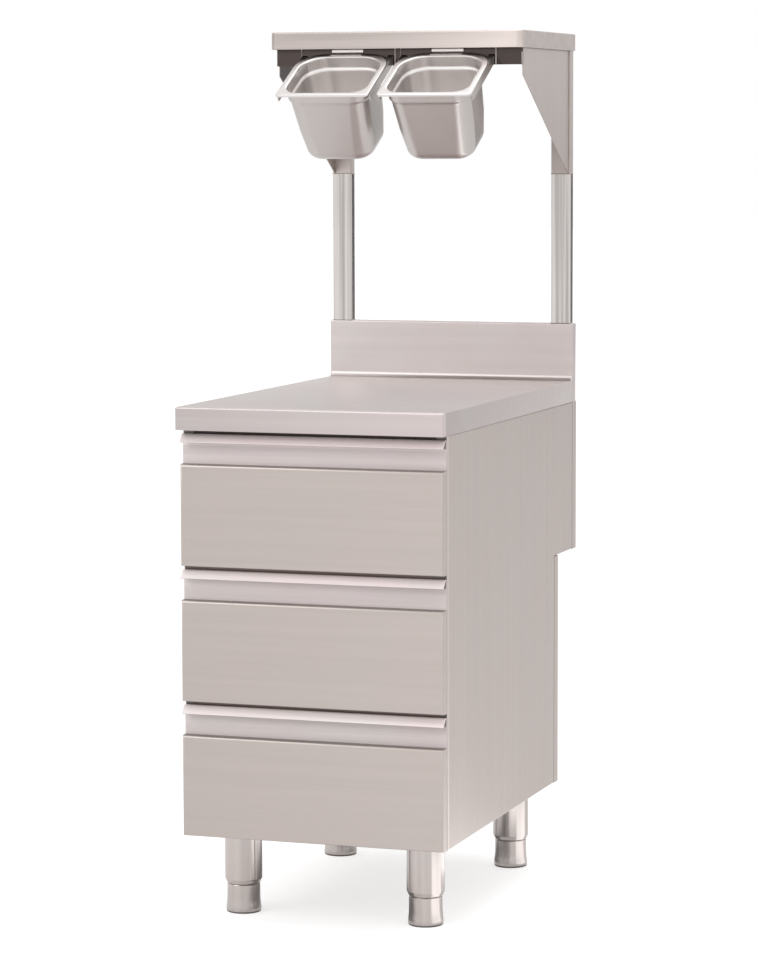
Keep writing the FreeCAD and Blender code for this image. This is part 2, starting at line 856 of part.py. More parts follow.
def pan(label, across):
    """A deep-drawn gastronorm pan: flat rim, stacking shoulder, drafted walls, round edges below."""
    thickness = size("pan_wall")
    drop = size("pan_rim_drop")
    corner = size("pan_rim_corner")
    back_corner = size("pan_rim_back_corner")
    outside = pan_form(f"{label}_outside", as_size(0))
    flange = new_sketch(outside, "XY", -thickness)
    draw_rounded(flange, *pan_outline(as_size(0), corner, back_corner))
    add(outside, flange, thickness)
    edge = new_sketch(outside, "XY", -drop)
    draw_rounded(edge, *pan_outline(as_size(0), corner, back_corner))
    draw_rounded(edge, *pan_outline(thickness, corner - thickness, back_corner - thickness))
    add(outside, edge, drop)
    drawn = doc.addObject("Part::Cut", label)
    drawn.Label = label
    drawn.Base = outside
    drawn.Tool = pan_form(f"{label}_inside", thickness)
    tilt(drawn, across)
    return drawn


def over_rim(back, above):
    """A point near a tilted rim: "back" forward along the rim, "above" square to it."""
    along = (cosine(size("pan_tilt")), sine(size("pan_tilt")))
    return (pan_back - back * along[0] - above * along[1],
            pan_level - back * along[1] + above * along[0])


def at_plate(above):
    """Where a line along the rim, "above" square to it, meets the holders' upright plates."""
    run = pan_back - above * sine(size("pan_tilt")) - plate_front
    back = run / cosine(size("pan_tilt"))
    return plate_front, over_rim(back, above)[1]


def pan_holder(label, across):
    """A plate on the pan rail with two angled arms that run forward under the pan's side rims."""
    body = new_body(label)
    outer = size("pan_width") / 2
    half = outer + size("holder_margin")
    prism(body, "XZ", plate_front, rail_face,
          rectangle(across - half, across + half, rail_bottom, plate_top))
    inner = outer - size("pan_rim") + size("arm_clearance")
    top = -size("pan_rim_drop") - size("arm_clearance")
    length = size("pan_length") - size("arm_front_gap")
    for side in SIDES.values():
        for near, far, drop in ((inner, outer, size("arm_wall")),
                                (outer - size("arm_wall"), outer, size("arm_drop"))):
            low, high = (near, far) if side > 0 else (-far, -near)
            prism(body, "YZ", across + low, across + high, [
                at_plate(top), over_rim(length, top), over_rim(length, top - drop), at_plate(top - drop),
            ])
    return body


def pan_clips():
    """Spring tabs welded to the holders' plates, which press on the middle of each pan's back rim."""
    half = size("clip_width") / 2
    thickness = size("clip_wall")
    gap = size("arm_clearance")
    reach = size("clip_reach")
    bend = over_rim(0, gap + thickness)
    outline = [
        (plate_front, over_rim(0, gap)[1]),
        (plate_front, plate_top),
        (plate_front - thickness, plate_top),
        (plate_front - thickness, bend[1] + thickness / 2),
        over_rim(reach, gap + thickness),
        over_rim(reach, gap),
        over_rim(0, gap),
    ]
    tabs = []
    for across in (-pan_across, pan_across):
        tab = new_body("clip_tab")
        prism(tab, "YZ", across - half, across + half, outline)
        tabs.append(tab)
    return grouped("pan_clips", tabs)


def gantry():
    for name, side in SIDES.items():
        post(f"{name}_post", side)
        gusset(f"{name}_gusset", side)
        across = side * pan_across
        pan_holder(f"{name}_pan_holder", across)
        pan(f"{name}_pan", across)
    shelf()
    pan_rail()
    pan_clips()


# ---------------------------------------------------------------------------------------------
# The whole station
# ---------------------------------------------------------------------------------------------

carcass()
top_frame()
worktop()
worktop_underlay()
for number, drawer_name in enumerate(DRAWERS):
    drawer(drawer_name, body_base + number * size("drawer_pitch"))
legs()
gantry()
doc.recompute()


KINDS = ["PartDesign::Body", "Part::Compound", "Part::Cut"]


def sub_parts():
    """The objects that are pieces of the station, without those that a group or a cut is made of."""
    pieces = [item for item in doc.Objects if item.TypeId in KINDS]
    return [item for item in pieces if not any(user.TypeId in KINDS for user in item.InList)]


failed = [item.Name for item in doc.Objects if {"Invalid", "Error"} & set(item.State)]
if failed:
    raise RuntimeError(f"failed objects: {failed}")
for piece in sub_parts():
    if piece.Shape.isNull() or not piece.Shape.isValid():
        raise RuntimeError(f"bad shape: {piece.Label}")

os.makedirs("parts", exist_ok=True)
for piece in sub_parts():
    piece.Shape.exportStep(f"parts/{piece.Label}.step")
print(len(sub_parts()), "sub-parts")
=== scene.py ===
import math

import bmesh
import bpy
from mathutils import Matrix, Vector


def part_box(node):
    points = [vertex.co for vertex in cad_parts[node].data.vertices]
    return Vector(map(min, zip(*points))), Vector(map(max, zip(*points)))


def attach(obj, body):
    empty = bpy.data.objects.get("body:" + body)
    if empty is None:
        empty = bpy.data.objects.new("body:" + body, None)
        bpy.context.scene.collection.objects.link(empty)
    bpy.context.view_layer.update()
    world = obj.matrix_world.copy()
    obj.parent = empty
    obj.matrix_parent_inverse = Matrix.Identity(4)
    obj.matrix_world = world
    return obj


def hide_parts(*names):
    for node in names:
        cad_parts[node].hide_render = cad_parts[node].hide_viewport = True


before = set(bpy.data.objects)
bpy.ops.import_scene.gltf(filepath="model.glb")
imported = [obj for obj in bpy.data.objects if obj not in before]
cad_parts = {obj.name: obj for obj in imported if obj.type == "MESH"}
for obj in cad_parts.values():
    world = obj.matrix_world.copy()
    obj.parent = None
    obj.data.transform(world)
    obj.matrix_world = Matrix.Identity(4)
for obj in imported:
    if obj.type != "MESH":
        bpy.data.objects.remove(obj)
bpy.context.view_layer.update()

# The looks of a stainless condiment station: folded satin sheet, drawn pans, turned legs. Lengths
# are in metres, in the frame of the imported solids.

MM = 0.001
SIDES = {"left": -1, "right": 1}
DRAWERS = ["bottom", "middle", "top"]
AXES = {"X": 0, "Y": 1, "Z": 2}


# ---- Outlines ----

def rectangle(low_u, high_u, low_v, high_v):
    """Four corners, anticlockwise."""
    return [Vector(p) for p in ((low_u, low_v), (high_u, low_v), (high_u, high_v), (low_u, high_v))]


def rounded(points, radii, steps=5, closed=True):
    """The outline with each corner rounded to its radius. A radius of 0 leaves a corner sharp."""
    outline = []
    count = len(points)
    for i, radius in enumerate(radii):
        corner = Vector(points[i])
        if radius == 0 or (not closed and i in (0, count - 1)):
            outline.append(corner)
            continue
        back = (Vector(points[i - 1]) - corner).normalized()
        on = (Vector(points[(i + 1) % count]) - corner).normalized()
        half = back.angle(on) / 2
        centre = corner + (back + on).normalized() * (radius / math.sin(half))
        start = corner + back * (radius / math.tan(half)) - centre
        turn = start.angle_signed(corner + on * (radius / math.tan(half)) - centre)
        for step in range(steps + 1):
            outline.append(centre + Matrix.Rotation(-turn * step / steps, 2) @ start)
    return outline


def offset(points, distance, closed=True):
    """The same line moved to its left, with mitred corners; an anticlockwise outline shrinks."""
    moved = []
    count = len(points)
    for i, point in enumerate(points):
        runs = []
        if closed or i:
            runs.append(point - points[i - 1])
        if closed or i < count - 1:
            runs.append(points[(i + 1) % count] - point)
        normals = [Vector((-run.y, run.x)).normalized() for run in runs]
        middle = sum(normals, Vector((0, 0))).normalized()
        moved.append(point + middle * (distance / middle.dot(normals[0])))
    return moved


def folded(path, radii, wall):
    """The section of a folded sheet: a line of bends, thickened to its left."""
    line = rounded(path, radii, closed=False)
    return line + offset(line, wall, closed=False)[::-1]


def lifted(points, plane, at):
    """Points of a drawing plane as points in space."""
    gap = ["YZ", "XZ", "XY"].index(plane)
    return [(*point[:gap], at, *point[gap:]) for point in points]


# ---- Pieces ----

SHARP_ANGLE = math.radians(32)      # edges that turn by more than this stay sharp
BEVEL_ANGLE = math.radians(40)      # and those that turn by more than this are broken
FLAT_ANGLE = math.radians(1)
SAME_PLACE = 0.001 * MM
# the name of the attribute that marks a pan's faces for painted light
PAINTED_LIGHT_PARTS = "painted_light_parts"


class Form:
    """The mesh of a piece while it is made."""

    def __init__(self):
        self.mesh = bmesh.new()

    def skin(self, rings, capped=True, painted_light_parts=()):
        """Joins each ring of points to the next, and fills the first and the last.

        Each (ring, amount) pair given for painted light marks the faces from that ring on.
        """
        rows = [[self.mesh.verts.new(point) for point in ring] for ring in rings]
        for low, high in zip(rows, rows[1:]):
            for i in range(len(low)):
                self.mesh.faces.new((low[i - 1], low[i], high[i], high[i - 1]))
        if capped:
            self.mesh.faces.new(rows[0][::-1])
            self.mesh.faces.new(rows[-1])
        if painted_light_parts:
            mark = self.mesh.faces.layers.float.new(PAINTED_LIGHT_PARTS)
            self.mesh.faces.ensure_lookup_table()
            for ring, amount in painted_light_parts:
                for face in self.mesh.faces[ring * len(rows[0]):]:
                    face[mark] = amount
            # the face that fills the first ring
            self.mesh.faces[-2][mark] = 0.0
        return self

    def shell(self, outer, inner):
        """Two skins, one inside the other, joined along the side that both leave open."""
        rims = []
        for rings in (outer, inner):
            rows = [[self.mesh.verts.new(point) for point in ring] for ring in rings]
            for low, high in zip(rows, rows[1:]):
                for i in range(len(low) - 1):
                    self.mesh.faces.new((low[i], low[i + 1], high[i + 1], high[i]))
            self.mesh.faces.new(rows[0][::-1])
            self.mesh.faces.new(rows[-1])
            rims.append([row[0] for row in rows] + [row[-1] for row in reversed(rows)])
        near, far = rims
        for i in range(len(near)):
            self.mesh.faces.new((near[i - 1], near[i], far[i], far[i - 1]))
        return self

    def prism(self, plane, low, high, outline):
        """A straight length of one outline."""
        return self.skin([lifted(outline, plane, at) for at in (low, high)])

    def loft(self, plane, outline, profile):
        """One outline drawn in by each (inset, level) of a profile."""
        return self.skin([lifted(offset(outline, inset), plane, at) for inset, at in profile])

    def turn(self, across, back, profile, steps=72):
        """A turned shape: (radius, level) pairs about an upright axis."""
        rings = []
        for radius, level in profile:
            angles = [2 * math.pi * step / steps for step in range(steps)]
            rings.append([(across + radius * math.cos(a), back + radius * math.sin(a), level)
                          for a in angles])
        return self.skin(rings)

    def piece(self, name, finish, slot, *nodes, body="cabinet", bevel=0.0):
        """Ends the piece, with its edges broken, and fits it in place of its nodes."""
        bmesh.ops.recalc_face_normals(self.mesh, faces=self.mesh.faces)
        fitted(finished(self.mesh, name, bevel), finish, slot, *nodes, body=body)


def finished(mesh, name, bevel):
    """A plain piece from a worked mesh, with broken edges and even shading on its flat faces."""
    data = bpy.data.meshes.new(name + "_draft")
    mesh.to_mesh(data)
    mesh.free()
    draft = bpy.data.objects.new(name + "_draft", data)
    bpy.context.scene.collection.objects.link(draft)
    if bevel:
        edge = draft.modifiers.new("edges", "BEVEL")
        edge.width = bevel
        edge.segments = 2
        edge.limit_method = "ANGLE"
        edge.angle_limit = BEVEL_ANGLE
    data.polygons.foreach_set("use_smooth", [True] * len(data.polygons))
    data.set_sharp_from_angle(angle=SHARP_ANGLE)
    flat = draft.modifiers.new("flat", "WEIGHTED_NORMAL")
    flat.keep_sharp = True
    return as_made(draft, name)


def as_made(draft, name):
    """A plain piece with the mesh that a draft's modifiers make; the draft goes."""
    bpy.context.view_layer.update()
    data = bpy.data.meshes.new_from_object(draft.evaluated_get(bpy.context.evaluated_depsgraph_get()))
    data.name = name
    piece = bpy.data.objects.new(name, data)
    bpy.context.scene.collection.objects.link(piece)
    old = draft.data
    bpy.data.objects.remove(draft)
    bpy.data.meshes.remove(old)
    return piece


def fitted(piece, finish, slot, *nodes, body="cabinet"):
    """Gives a piece its finish, and sets it on its body in place of its nodes."""
    piece.data.materials.clear()
    piece.data.materials.append(finish)
    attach(piece, body)
    if nodes:
        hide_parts(*nodes)


def eased(node, finish, slot, body="cabinet", bevel=0.4 * MM):
    """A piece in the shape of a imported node, with its edges broken."""
    mesh = bmesh.new()
    mesh.from_mesh(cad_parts[node].data)
    bmesh.ops.remove_doubles(mesh, verts=mesh.verts, dist=SAME_PLACE)
    bmesh.ops.dissolve_limit(mesh, angle_limit=FLAT_ANGLE, verts=mesh.verts, edges=mesh.edges)
    fitted(finished(mesh, f"{node}_eased", bevel), finish, slot, node, body=body)


def fold_inset(level, bend):
    """How far inside its edge a sheet still is, this far behind its face, as it bends back."""
    rest = max(0.0, bend - level)
    return bend - math.sqrt(bend ** 2 - rest ** 2)


def tray_rings(depth, wall, bends, steps=6):
    """(insets, level) pairs over a tray's edges, down their folds, and back up inside them.

    There is one inset for each of the "bends", the outside radii of the tray's edges.
    """
    deepest = max(bends)
    levels = [deepest * (1 - math.cos(math.pi / 2 * step / steps)) for step in range(steps + 1)]
    rings = [([fold_inset(level, bend) for bend in bends], level) for level in levels]
    ease = wall / 5
    rings += [([inset] * len(bends), level) for inset, level in (
        (0, depth - ease), (ease, depth), (wall - ease, depth), (wall, depth - ease))]
    for level in reversed(levels):
        behind = level * (deepest - wall) / deepest
        rings.append(([wall + fold_inset(behind, bend - wall) for bend in bends], wall + behind))
    return rings


def tray_profile(face, toward, depth, wall, bend):
    """(inset, level) pairs of a tray with the same bend all round."""
    return [(insets[0], face + toward * level) for insets, level in tray_rings(depth, wall, [bend])]


# ---- Finishes ----

def sum_method(operation, reflected=False):
    """A method of Field that does one kind of sum."""
    def method(self, other):
        return self.worked_out(operation, *((other, self) if reflected else (self, other)))
    return method


class Field:
    """A number that varies over a surface, for use in ordinary arithmetic."""

    def __init__(self, tree, socket):
        self.tree = tree
        self.socket = socket

    def worked_out(self, operation, first, second):
        """The sum of two numbers, each plain or varying."""
        maths = self.tree.nodes.new("ShaderNodeMath")
        maths.operation = operation
        for socket, value in zip(maths.inputs, (first, second)):
            if isinstance(value, Field):
                self.tree.links.new(value.socket, socket)
            else:
                socket.default_value = value
        return Field(self.tree, maths.outputs[0])

    __add__, __radd__ = sum_method("ADD"), sum_method("ADD", reflected=True)
    __sub__, __rsub__ = sum_method("SUBTRACT"), sum_method("SUBTRACT", reflected=True)
    __mul__, __rmul__ = sum_method("MULTIPLY"), sum_method("MULTIPLY", reflected=True)
    __truediv__, __rtruediv__ = sum_method("DIVIDE"), sum_method("DIVIDE", reflected=True)
    # 1 where it holds, 0 elsewhere; each of the two is the other's reflected form
    __lt__, __gt__ = sum_method("LESS_THAN"), sum_method("GREATER_THAN")

    def within_unit(self):
        """No less than 0 and no more than 1."""
        bounded = self + 0.0
        bounded.socket.node.use_clamp = True
        return bounded


class Tree:
    """A tree of nodes while it is built."""

    def __init__(self, tree):
        self.tree = tree

    def node(self, kind, settings=None, inputs=None):
        """A node with its settings, then its inputs' values or links."""
        made = self.tree.nodes.new(kind)
        for name, value in (settings or {}).items():
            setattr(made, name, value)
        for name, value in (inputs or {}).items():
            socket = next(s for s in made.inputs if name in (s.identifier, s.name))
            if isinstance(value, Field):
                value = value.socket
            if isinstance(value, bpy.types.NodeSocket):
                self.tree.links.new(value, socket)
            else:
                socket.default_value = value
        return made


class Finish(Tree):
    """The shader nodes of a material, or of the world."""

    def __init__(self, owner):
        owner.use_nodes = True
        super().__init__(owner.node_tree)
        self.owner = owner
        self.tree.nodes.clear()

    def part(self, vector, axis):
        """What a vector has along one axis."""
        parts = self.node("ShaderNodeSeparateXYZ", inputs={"Vector": vector})
        return Field(self.tree, parts.outputs[axis])

    def coordinate(self, axis):
        """The place on a piece along one axis, in metres."""
        return self.part(self.node("ShaderNodeTexCoord").outputs["Object"], axis)

    def facing(self, axis):
        """1 on what faces along an axis, -1 on what faces against it, 0 on what faces aside."""
        return self.part(self.node("ShaderNodeNewGeometry").outputs["Normal"], axis)

    def facing_forward(self):
        """1 on what faces the front."""
        return self.facing("Y") * -1.0

    def noise(self, scales, detail=2.0, roughness=0.5):
        """Noise from 0 to 1, with so many features per metre along each axis."""
        place = self.node("ShaderNodeTexCoord").outputs["Object"]
        stretched = self.node("ShaderNodeMapping", inputs={"Vector": place, "Scale": scales})
        noise = self.node("ShaderNodeTexNoise", inputs={
            "Vector": stretched.outputs["Vector"], "Scale": 1.0, "Detail": detail,
            "Roughness": roughness})
        return Field(self.tree, noise.outputs["Fac"])

    def blend(self, factor, first, second, bounded=True, kind="MIX"):
        """A colour between two others, or beyond them where it isn't bounded."""
        mix = self.node(
            "ShaderNodeMix", {"data_type": "RGBA", "blend_type": kind, "clamp_factor": bounded},
            {"Factor_Float": factor, "A_Color": first, "B_Color": second})
        return next(socket for socket in mix.outputs if socket.identifier == "Result_Color")

    def relief(self, height, depth, strength):
        """The directions of a surface that a height from 0 to 1 makes uneven."""
        return self.node("ShaderNodeBump", inputs={
            "Strength": strength, "Distance": depth, "Height": height}).outputs["Normal"]

    def surface(self, **inputs):
        """Ends the tree in a surface; an underscore in an input's name stands for a space."""
        named = {name.replace("_", " "): value for name, value in inputs.items()}
        shader = self.node("ShaderNodeBsdfPrincipled", inputs=named)
        self.node("ShaderNodeOutputMaterial", inputs={"Surface": shader.outputs["BSDF"]})
        return self.owner


def new_finish(name):
    """An empty material."""
    return Finish(bpy.data.materials.new(name))


def shade(colour, factor):
    """A colour made lighter or darker."""
    return (*[min(1.0, part * factor) for part in colour[:3]], 1.0)


def along(axis, lengthwise, crosswise):
    """Feature counts per metre for a grain that runs along one axis."""
    scales = [crosswise] * 3
    scales[AXES[axis]] = lengthwise
    return scales


def brushed_steel(name, warm, cool, roughness, axis, metallic=1.0, streaks_per_metre=70,
                  streaking=0.5, grain=1.0, span=0.2, painted_light=None, bounded=True):
    """Satin sheet: fine lines along one axis, broader streaks, and cloudy handling marks.

    Clouds mix its two colours. Between a level of 0 and one of 1 it goes from "span" darker than
    these to as much lighter; painted light and shade are added to the level from place to place.
    """
    finish = new_finish(name)
    lines = finish.noise(along(axis, lengthwise=5, crosswise=1100), detail=3)
    streaks = finish.noise(along(axis, lengthwise=1.2, crosswise=streaks_per_metre), detail=2)
    clouds = finish.noise([4.5, 4.5, 4.5], detail=3, roughness=0.6)
    marks = finish.noise([38, 38, 38], detail=4, roughness=0.65)
    level = (lines - 0.5) * 0.25 + (streaks - 0.5) * streaking + 0.5
    if painted_light:
        level = level + painted_light(finish)
    tint = clouds * 2.2 - 0.6
    dark = finish.blend(tint, shade(warm, 1 - span), shade(cool, 1 - span))
    light = finish.blend(tint, shade(warm, 1 + span), shade(cool, 1 + span))
    rough = (streaks - 0.5) * 0.10 + (marks - 0.5) * 0.08 + (lines - 0.5) * 0.08 + roughness
    return finish.surface(
        Base_Color=finish.blend(level, dark, light, bounded), Metallic=metallic, Roughness=rough,
        Normal=finish.relief(lines + streaks * 0.6, depth=0.05 * MM, strength=0.12 * grain))


def drawn_steel(name, outside, inside, rim, roughness):
    """Bright deep-drawn sheet, a soft shine that wanders a little; inside and rim painted lighter."""
    finish = new_finish(name)
    clouds = finish.noise([14, 14, 9], detail=2, roughness=0.5)
    scuffs = finish.noise([160, 160, 60], detail=3, roughness=0.6)
    painted_light_parts = Field(finish.tree, finish.node(
        "ShaderNodeAttribute", {"attribute_name": PAINTED_LIGHT_PARTS}).outputs["Fac"])
    # the inside's lighter colour is painted light, the rim's a painted highlight
    colour = finish.blend(painted_light_parts * 2.0, outside, inside)
    colour = finish.blend(painted_light_parts * 2.0 - 1.0, colour, rim)
    wander = finish.blend(clouds, shade(WHITE, 0.94), WHITE)
    return finish.surface(
        Base_Color=finish.blend(1.0, colour, wander, kind="MULTIPLY"), Metallic=1.0,
        Roughness=(clouds - 0.5) * 0.1 + (scuffs - 0.5) * 0.06 + roughness,
        Normal=finish.relief(clouds + scuffs * 0.03, depth=0.3 * MM, strength=0.15))


def plain_steel(name, colour, roughness, rail_painted_shade=None, forward=None):
    """Mill-finished sheet, for what lies inside.

    It may take painted shade back at the pan rail, or where it faces forward.
    """
    finish = new_finish(name)
    clouds = finish.noise([30, 30, 30], detail=4, roughness=0.6)
    rolling = finish.noise([300, 8, 300], detail=2)
    base = finish.blend(clouds, shade(colour, 0.9), shade(colour, 1.08))
    # painted shade that fades in towards the pan rail
    if rail_painted_shade:
        fade = 4 * MM
        fade_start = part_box("pan_rail")[0].y - 2 * fade
        darkening = (finish.coordinate("Y") - fade_start) * (1 / fade)
        base = finish.blend(darkening, base, rail_painted_shade)
    # painted shade on the faces that look forward
    if forward:
        base = finish.blend(finish.facing_forward(), base, forward)
    return finish.surface(
        Base_Color=base, Metallic=1.0, Roughness=(rolling - 0.5) * 0.12 + roughness,
        Normal=finish.relief(rolling, depth=0.05 * MM, strength=0.1))


def matt(name, colour):
    """Dull, faintly fibrous board or rubber, and the painted shade at the lip's ends."""
    finish = new_finish(name)
    fibres = finish.noise([420, 420, 420], detail=4, roughness=0.7)
    return finish.surface(
        Base_Color=finish.blend(fibres, shade(colour, 0.7), shade(colour, 1.3)), Metallic=0.0,
        Roughness=fibres * 0.2 + 0.75,
        Normal=finish.relief(fibres, depth=0.3 * MM, strength=0.5))


# The painted light and shade below is added to a brushed sheet's level: more than 0 is lighter.

def front_painted_light(finish):
    """A little painted sheen to the right, and painted shade on the narrow ledge below the grip."""
    painted_light_per_metre = 0.4
    ledge_shade = 1.2
    ledge = finish.facing("Z") > 0.9
    return finish.coordinate("X") * finish.facing_forward() * painted_light_per_metre - ledge * ledge_shade


def grip_painted_light(finish):
    """Painted light where it turns up, more on the top drawer's lip; painted shade under the lip."""
    upward_painted_light = 0.32
    top_lip_painted_light = 0.3
    under_shade = 0.3
    lip_height = 20 * MM
    top_lip = finish.coordinate("Z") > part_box("top_drawer_front")[1].z - lip_height
    under = finish.facing("Y") > 0.1
    return (finish.facing("Z") * upward_painted_light - under * under_shade
            + top_lip * finish.facing_forward() * top_lip_painted_light)


def panel_painted_light(finish):
    """Painted shade: a little darker towards the floor, dark on the folds behind the drawers' edges.

    A pale strip runs along the front edge: a painted highlight where the sheet was bent.
    """
    painted_light_per_metre = 0.25
    middle_height = 0.6
    strip_highlight = 0.5
    strip_width = 6 * MM
    fold_shade = 2.25
    painted_drift = (finish.coordinate("Z") - middle_height) * painted_light_per_metre
    strip = finish.coordinate("Y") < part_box("right_side_panel")[0].y + strip_width
    fold = finish.facing_forward() > 0.97
    return painted_drift + strip * strip_highlight - fold * fold_shade


def gusset_painted_shade(finish):
    """Painted shade on the inside of the left gusset, which lies in the shade of the pans."""
    pan_shade = 2.1
    fade_per_metre = 6.0
    fade_end = 0.30
    inside = (finish.facing("X") > 0.5) * (finish.coordinate("X") < 0.0)
    fade = ((fade_end - finish.coordinate("Y")) * fade_per_metre).within_unit()
    return inside * fade * -pan_shade


def worktop_painted_light(finish):
    """Painted light to the back, more on the apron and its right; painted shade on the upstand."""
    back_painted_light_per_metre = 0.75
    apron_sheen_per_metre = 1.1
    apron_painted_light = 0.385
    apron_reach = 14 * MM
    upstand_shade = 0.09
    upstand_reach = 30 * MM
    low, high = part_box("worktop")
    back = finish.coordinate("Y")
    apron = back < low.y + apron_reach
    upstand = back > high.y - upstand_reach
    return (back * back_painted_light_per_metre - upstand * upstand_shade
            + apron * (finish.coordinate("X") * apron_sheen_per_metre + apron_painted_light))


def shelf_painted_light(finish):
    """Painted sheen much lighter to the right along its front; a little painted shade on its right
    end.
    """
    end_shade = 0.07
    painted_light_per_metre = 1.69
    sheen_growth_per_metre = 4.0
    middle_shade = 0.025
    across = finish.coordinate("X")
    painted_drift = across * (across * sheen_growth_per_metre + painted_light_per_metre) - middle_shade
    return painted_drift * finish.facing_forward() - finish.facing("X") * end_shade


WHITE = (1.0, 1.0, 1.0, 1.0)
WARM = (0.520, 0.458, 0.430, 1.0)
COOL = (0.520, 0.465, 0.438, 1.0)
ROSY = (0.555, 0.483, 0.480, 1.0)
PALE = (0.570, 0.532, 0.515, 1.0)
GREY = (0.540, 0.500, 0.482, 1.0)
# the colour of painted shade: on the pan rail, by the rail, and behind the drawers
PAINTED_SHADE = (0.080, 0.064, 0.060, 1.0)
MILL = shade(WARM, 0.85)
# painted light inside the pans, and a painted highlight on their rims
PAN_INSIDE_PAINTED_LIGHT = (0.93, 0.90, 0.885, 1.0)
PAN_RIM_PAINTED_HIGHLIGHT = (0.70, 0.67, 0.66, 1.0)
ZINC = (0.50, 0.50, 0.51, 1.0)
BLACK_BOARD = (0.12, 0.115, 0.11, 1.0)
DARK_RUBBER = (0.20, 0.18, 0.175, 1.0)
# the colour of the painted shade at the lip's ends
LIP_END_SHADE_COLOUR = (0.36, 0.31, 0.30, 1.0)
SCREW = (0.42, 0.41, 0.40, 1.0)
WELD = (0.40, 0.36, 0.33, 1.0)

panel_steel = brushed_steel("panel_steel", shade(WARM, 0.95), shade(COOL, 0.95), 0.42, "Z",
                            painted_light=panel_painted_light, bounded=False)
front_steel = brushed_steel("front_steel", shade(WARM, 1.02), shade(COOL, 1.02), 0.44, "X",
                            metallic=0.85, streaking=0.3, painted_light=front_painted_light, bounded=False)
# the grip's sheet, in a lighter copy of the front's steel: painted light on the lip and the recess
grip_steel_painted_light = brushed_steel("grip_steel_painted_light", shade(ROSY, 1.33), shade(PALE, 1.27), 0.5, "X",
                           metallic=0.3, span=0.35, painted_light=grip_painted_light)
worktop_steel = brushed_steel("worktop_steel", shade(ROSY, 0.985), shade(PALE, 0.985), 0.42, "X",
                              streaking=0.35, painted_light=worktop_painted_light)
gantry_steel = brushed_steel("gantry_steel", shade(WARM, 0.97), shade(COOL, 0.97), 0.40, "Z",
                             painted_light=gusset_painted_shade, bounded=False)
# the posts' strong upright streaks are painted reflections
post_steel_painted_reflections = brushed_steel("post_steel_painted_reflections", shade(PALE, 0.95), shade(PALE, 1.05), 0.15, "Z",
                           streaks_per_metre=150, streaking=5.0, grain=0.5)
shelf_steel = brushed_steel("shelf_steel", shade(WARM, 0.97), shade(COOL, 0.97), 0.38, "X",
                            span=0.4, painted_light=shelf_painted_light)
leg_steel = brushed_steel("leg_steel", WARM, shade(PALE, 0.9), 0.20, "Z", streaking=1.2, grain=0.6)
foot_steel = brushed_steel("foot_steel", WARM, shade(PALE, 0.9), 0.24, "Z", streaking=1.2,
                           grain=0.6)
pan_steel = drawn_steel("pan_steel", GREY, PAN_INSIDE_PAINTED_LIGHT, PAN_RIM_PAINTED_HIGHLIGHT, 0.30)
box_steel = plain_steel("box_steel", PALE, 0.36)
frame_steel = plain_steel("frame_steel", MILL, 0.45)
# frames with painted shade on their forward faces, seen through the gaps between the drawers
rail_front_painted_shade_steel = plain_steel("rail_front_painted_shade_steel", MILL, 0.45, forward=shade(PAINTED_SHADE, 2.5))
top_front_painted_shade_steel = plain_steel("top_front_painted_shade_steel", MILL, 0.45, forward=PAINTED_SHADE)
# the pan rail under the shelf: steel coloured as painted shade
rail_painted_shade_steel = plain_steel("rail_painted_shade_steel", PAINTED_SHADE, 0.30)
# pan holders, with painted shade where they reach back to the rail
holder_steel = plain_steel("holder_steel", GREY, 0.30, rail_painted_shade=PAINTED_SHADE)
# a paler copy of the steel: painted highlight on the pan clips and the holder welds
clip_steel_painted_highlight = plain_steel("clip_steel_painted_highlight", shade(PALE, 1.5), 0.35)
runner_steel = plain_steel("runner_steel", ZINC, 0.33)
screw_steel = plain_steel("screw_steel", SCREW, 0.3)
weld_metal = plain_steel("weld_metal", WELD, 0.38)
underlay_board = matt("underlay_board", BLACK_BOARD)
pad_rubber = matt("pad_rubber", DARK_RUBBER)
# painted shade at the ends of the drawers' grips
lip_end_painted_shade = matt("lip_end_painted_shade", LIP_END_SHADE_COLOUR)


# ---- What repeats ----

FACING = "facing"


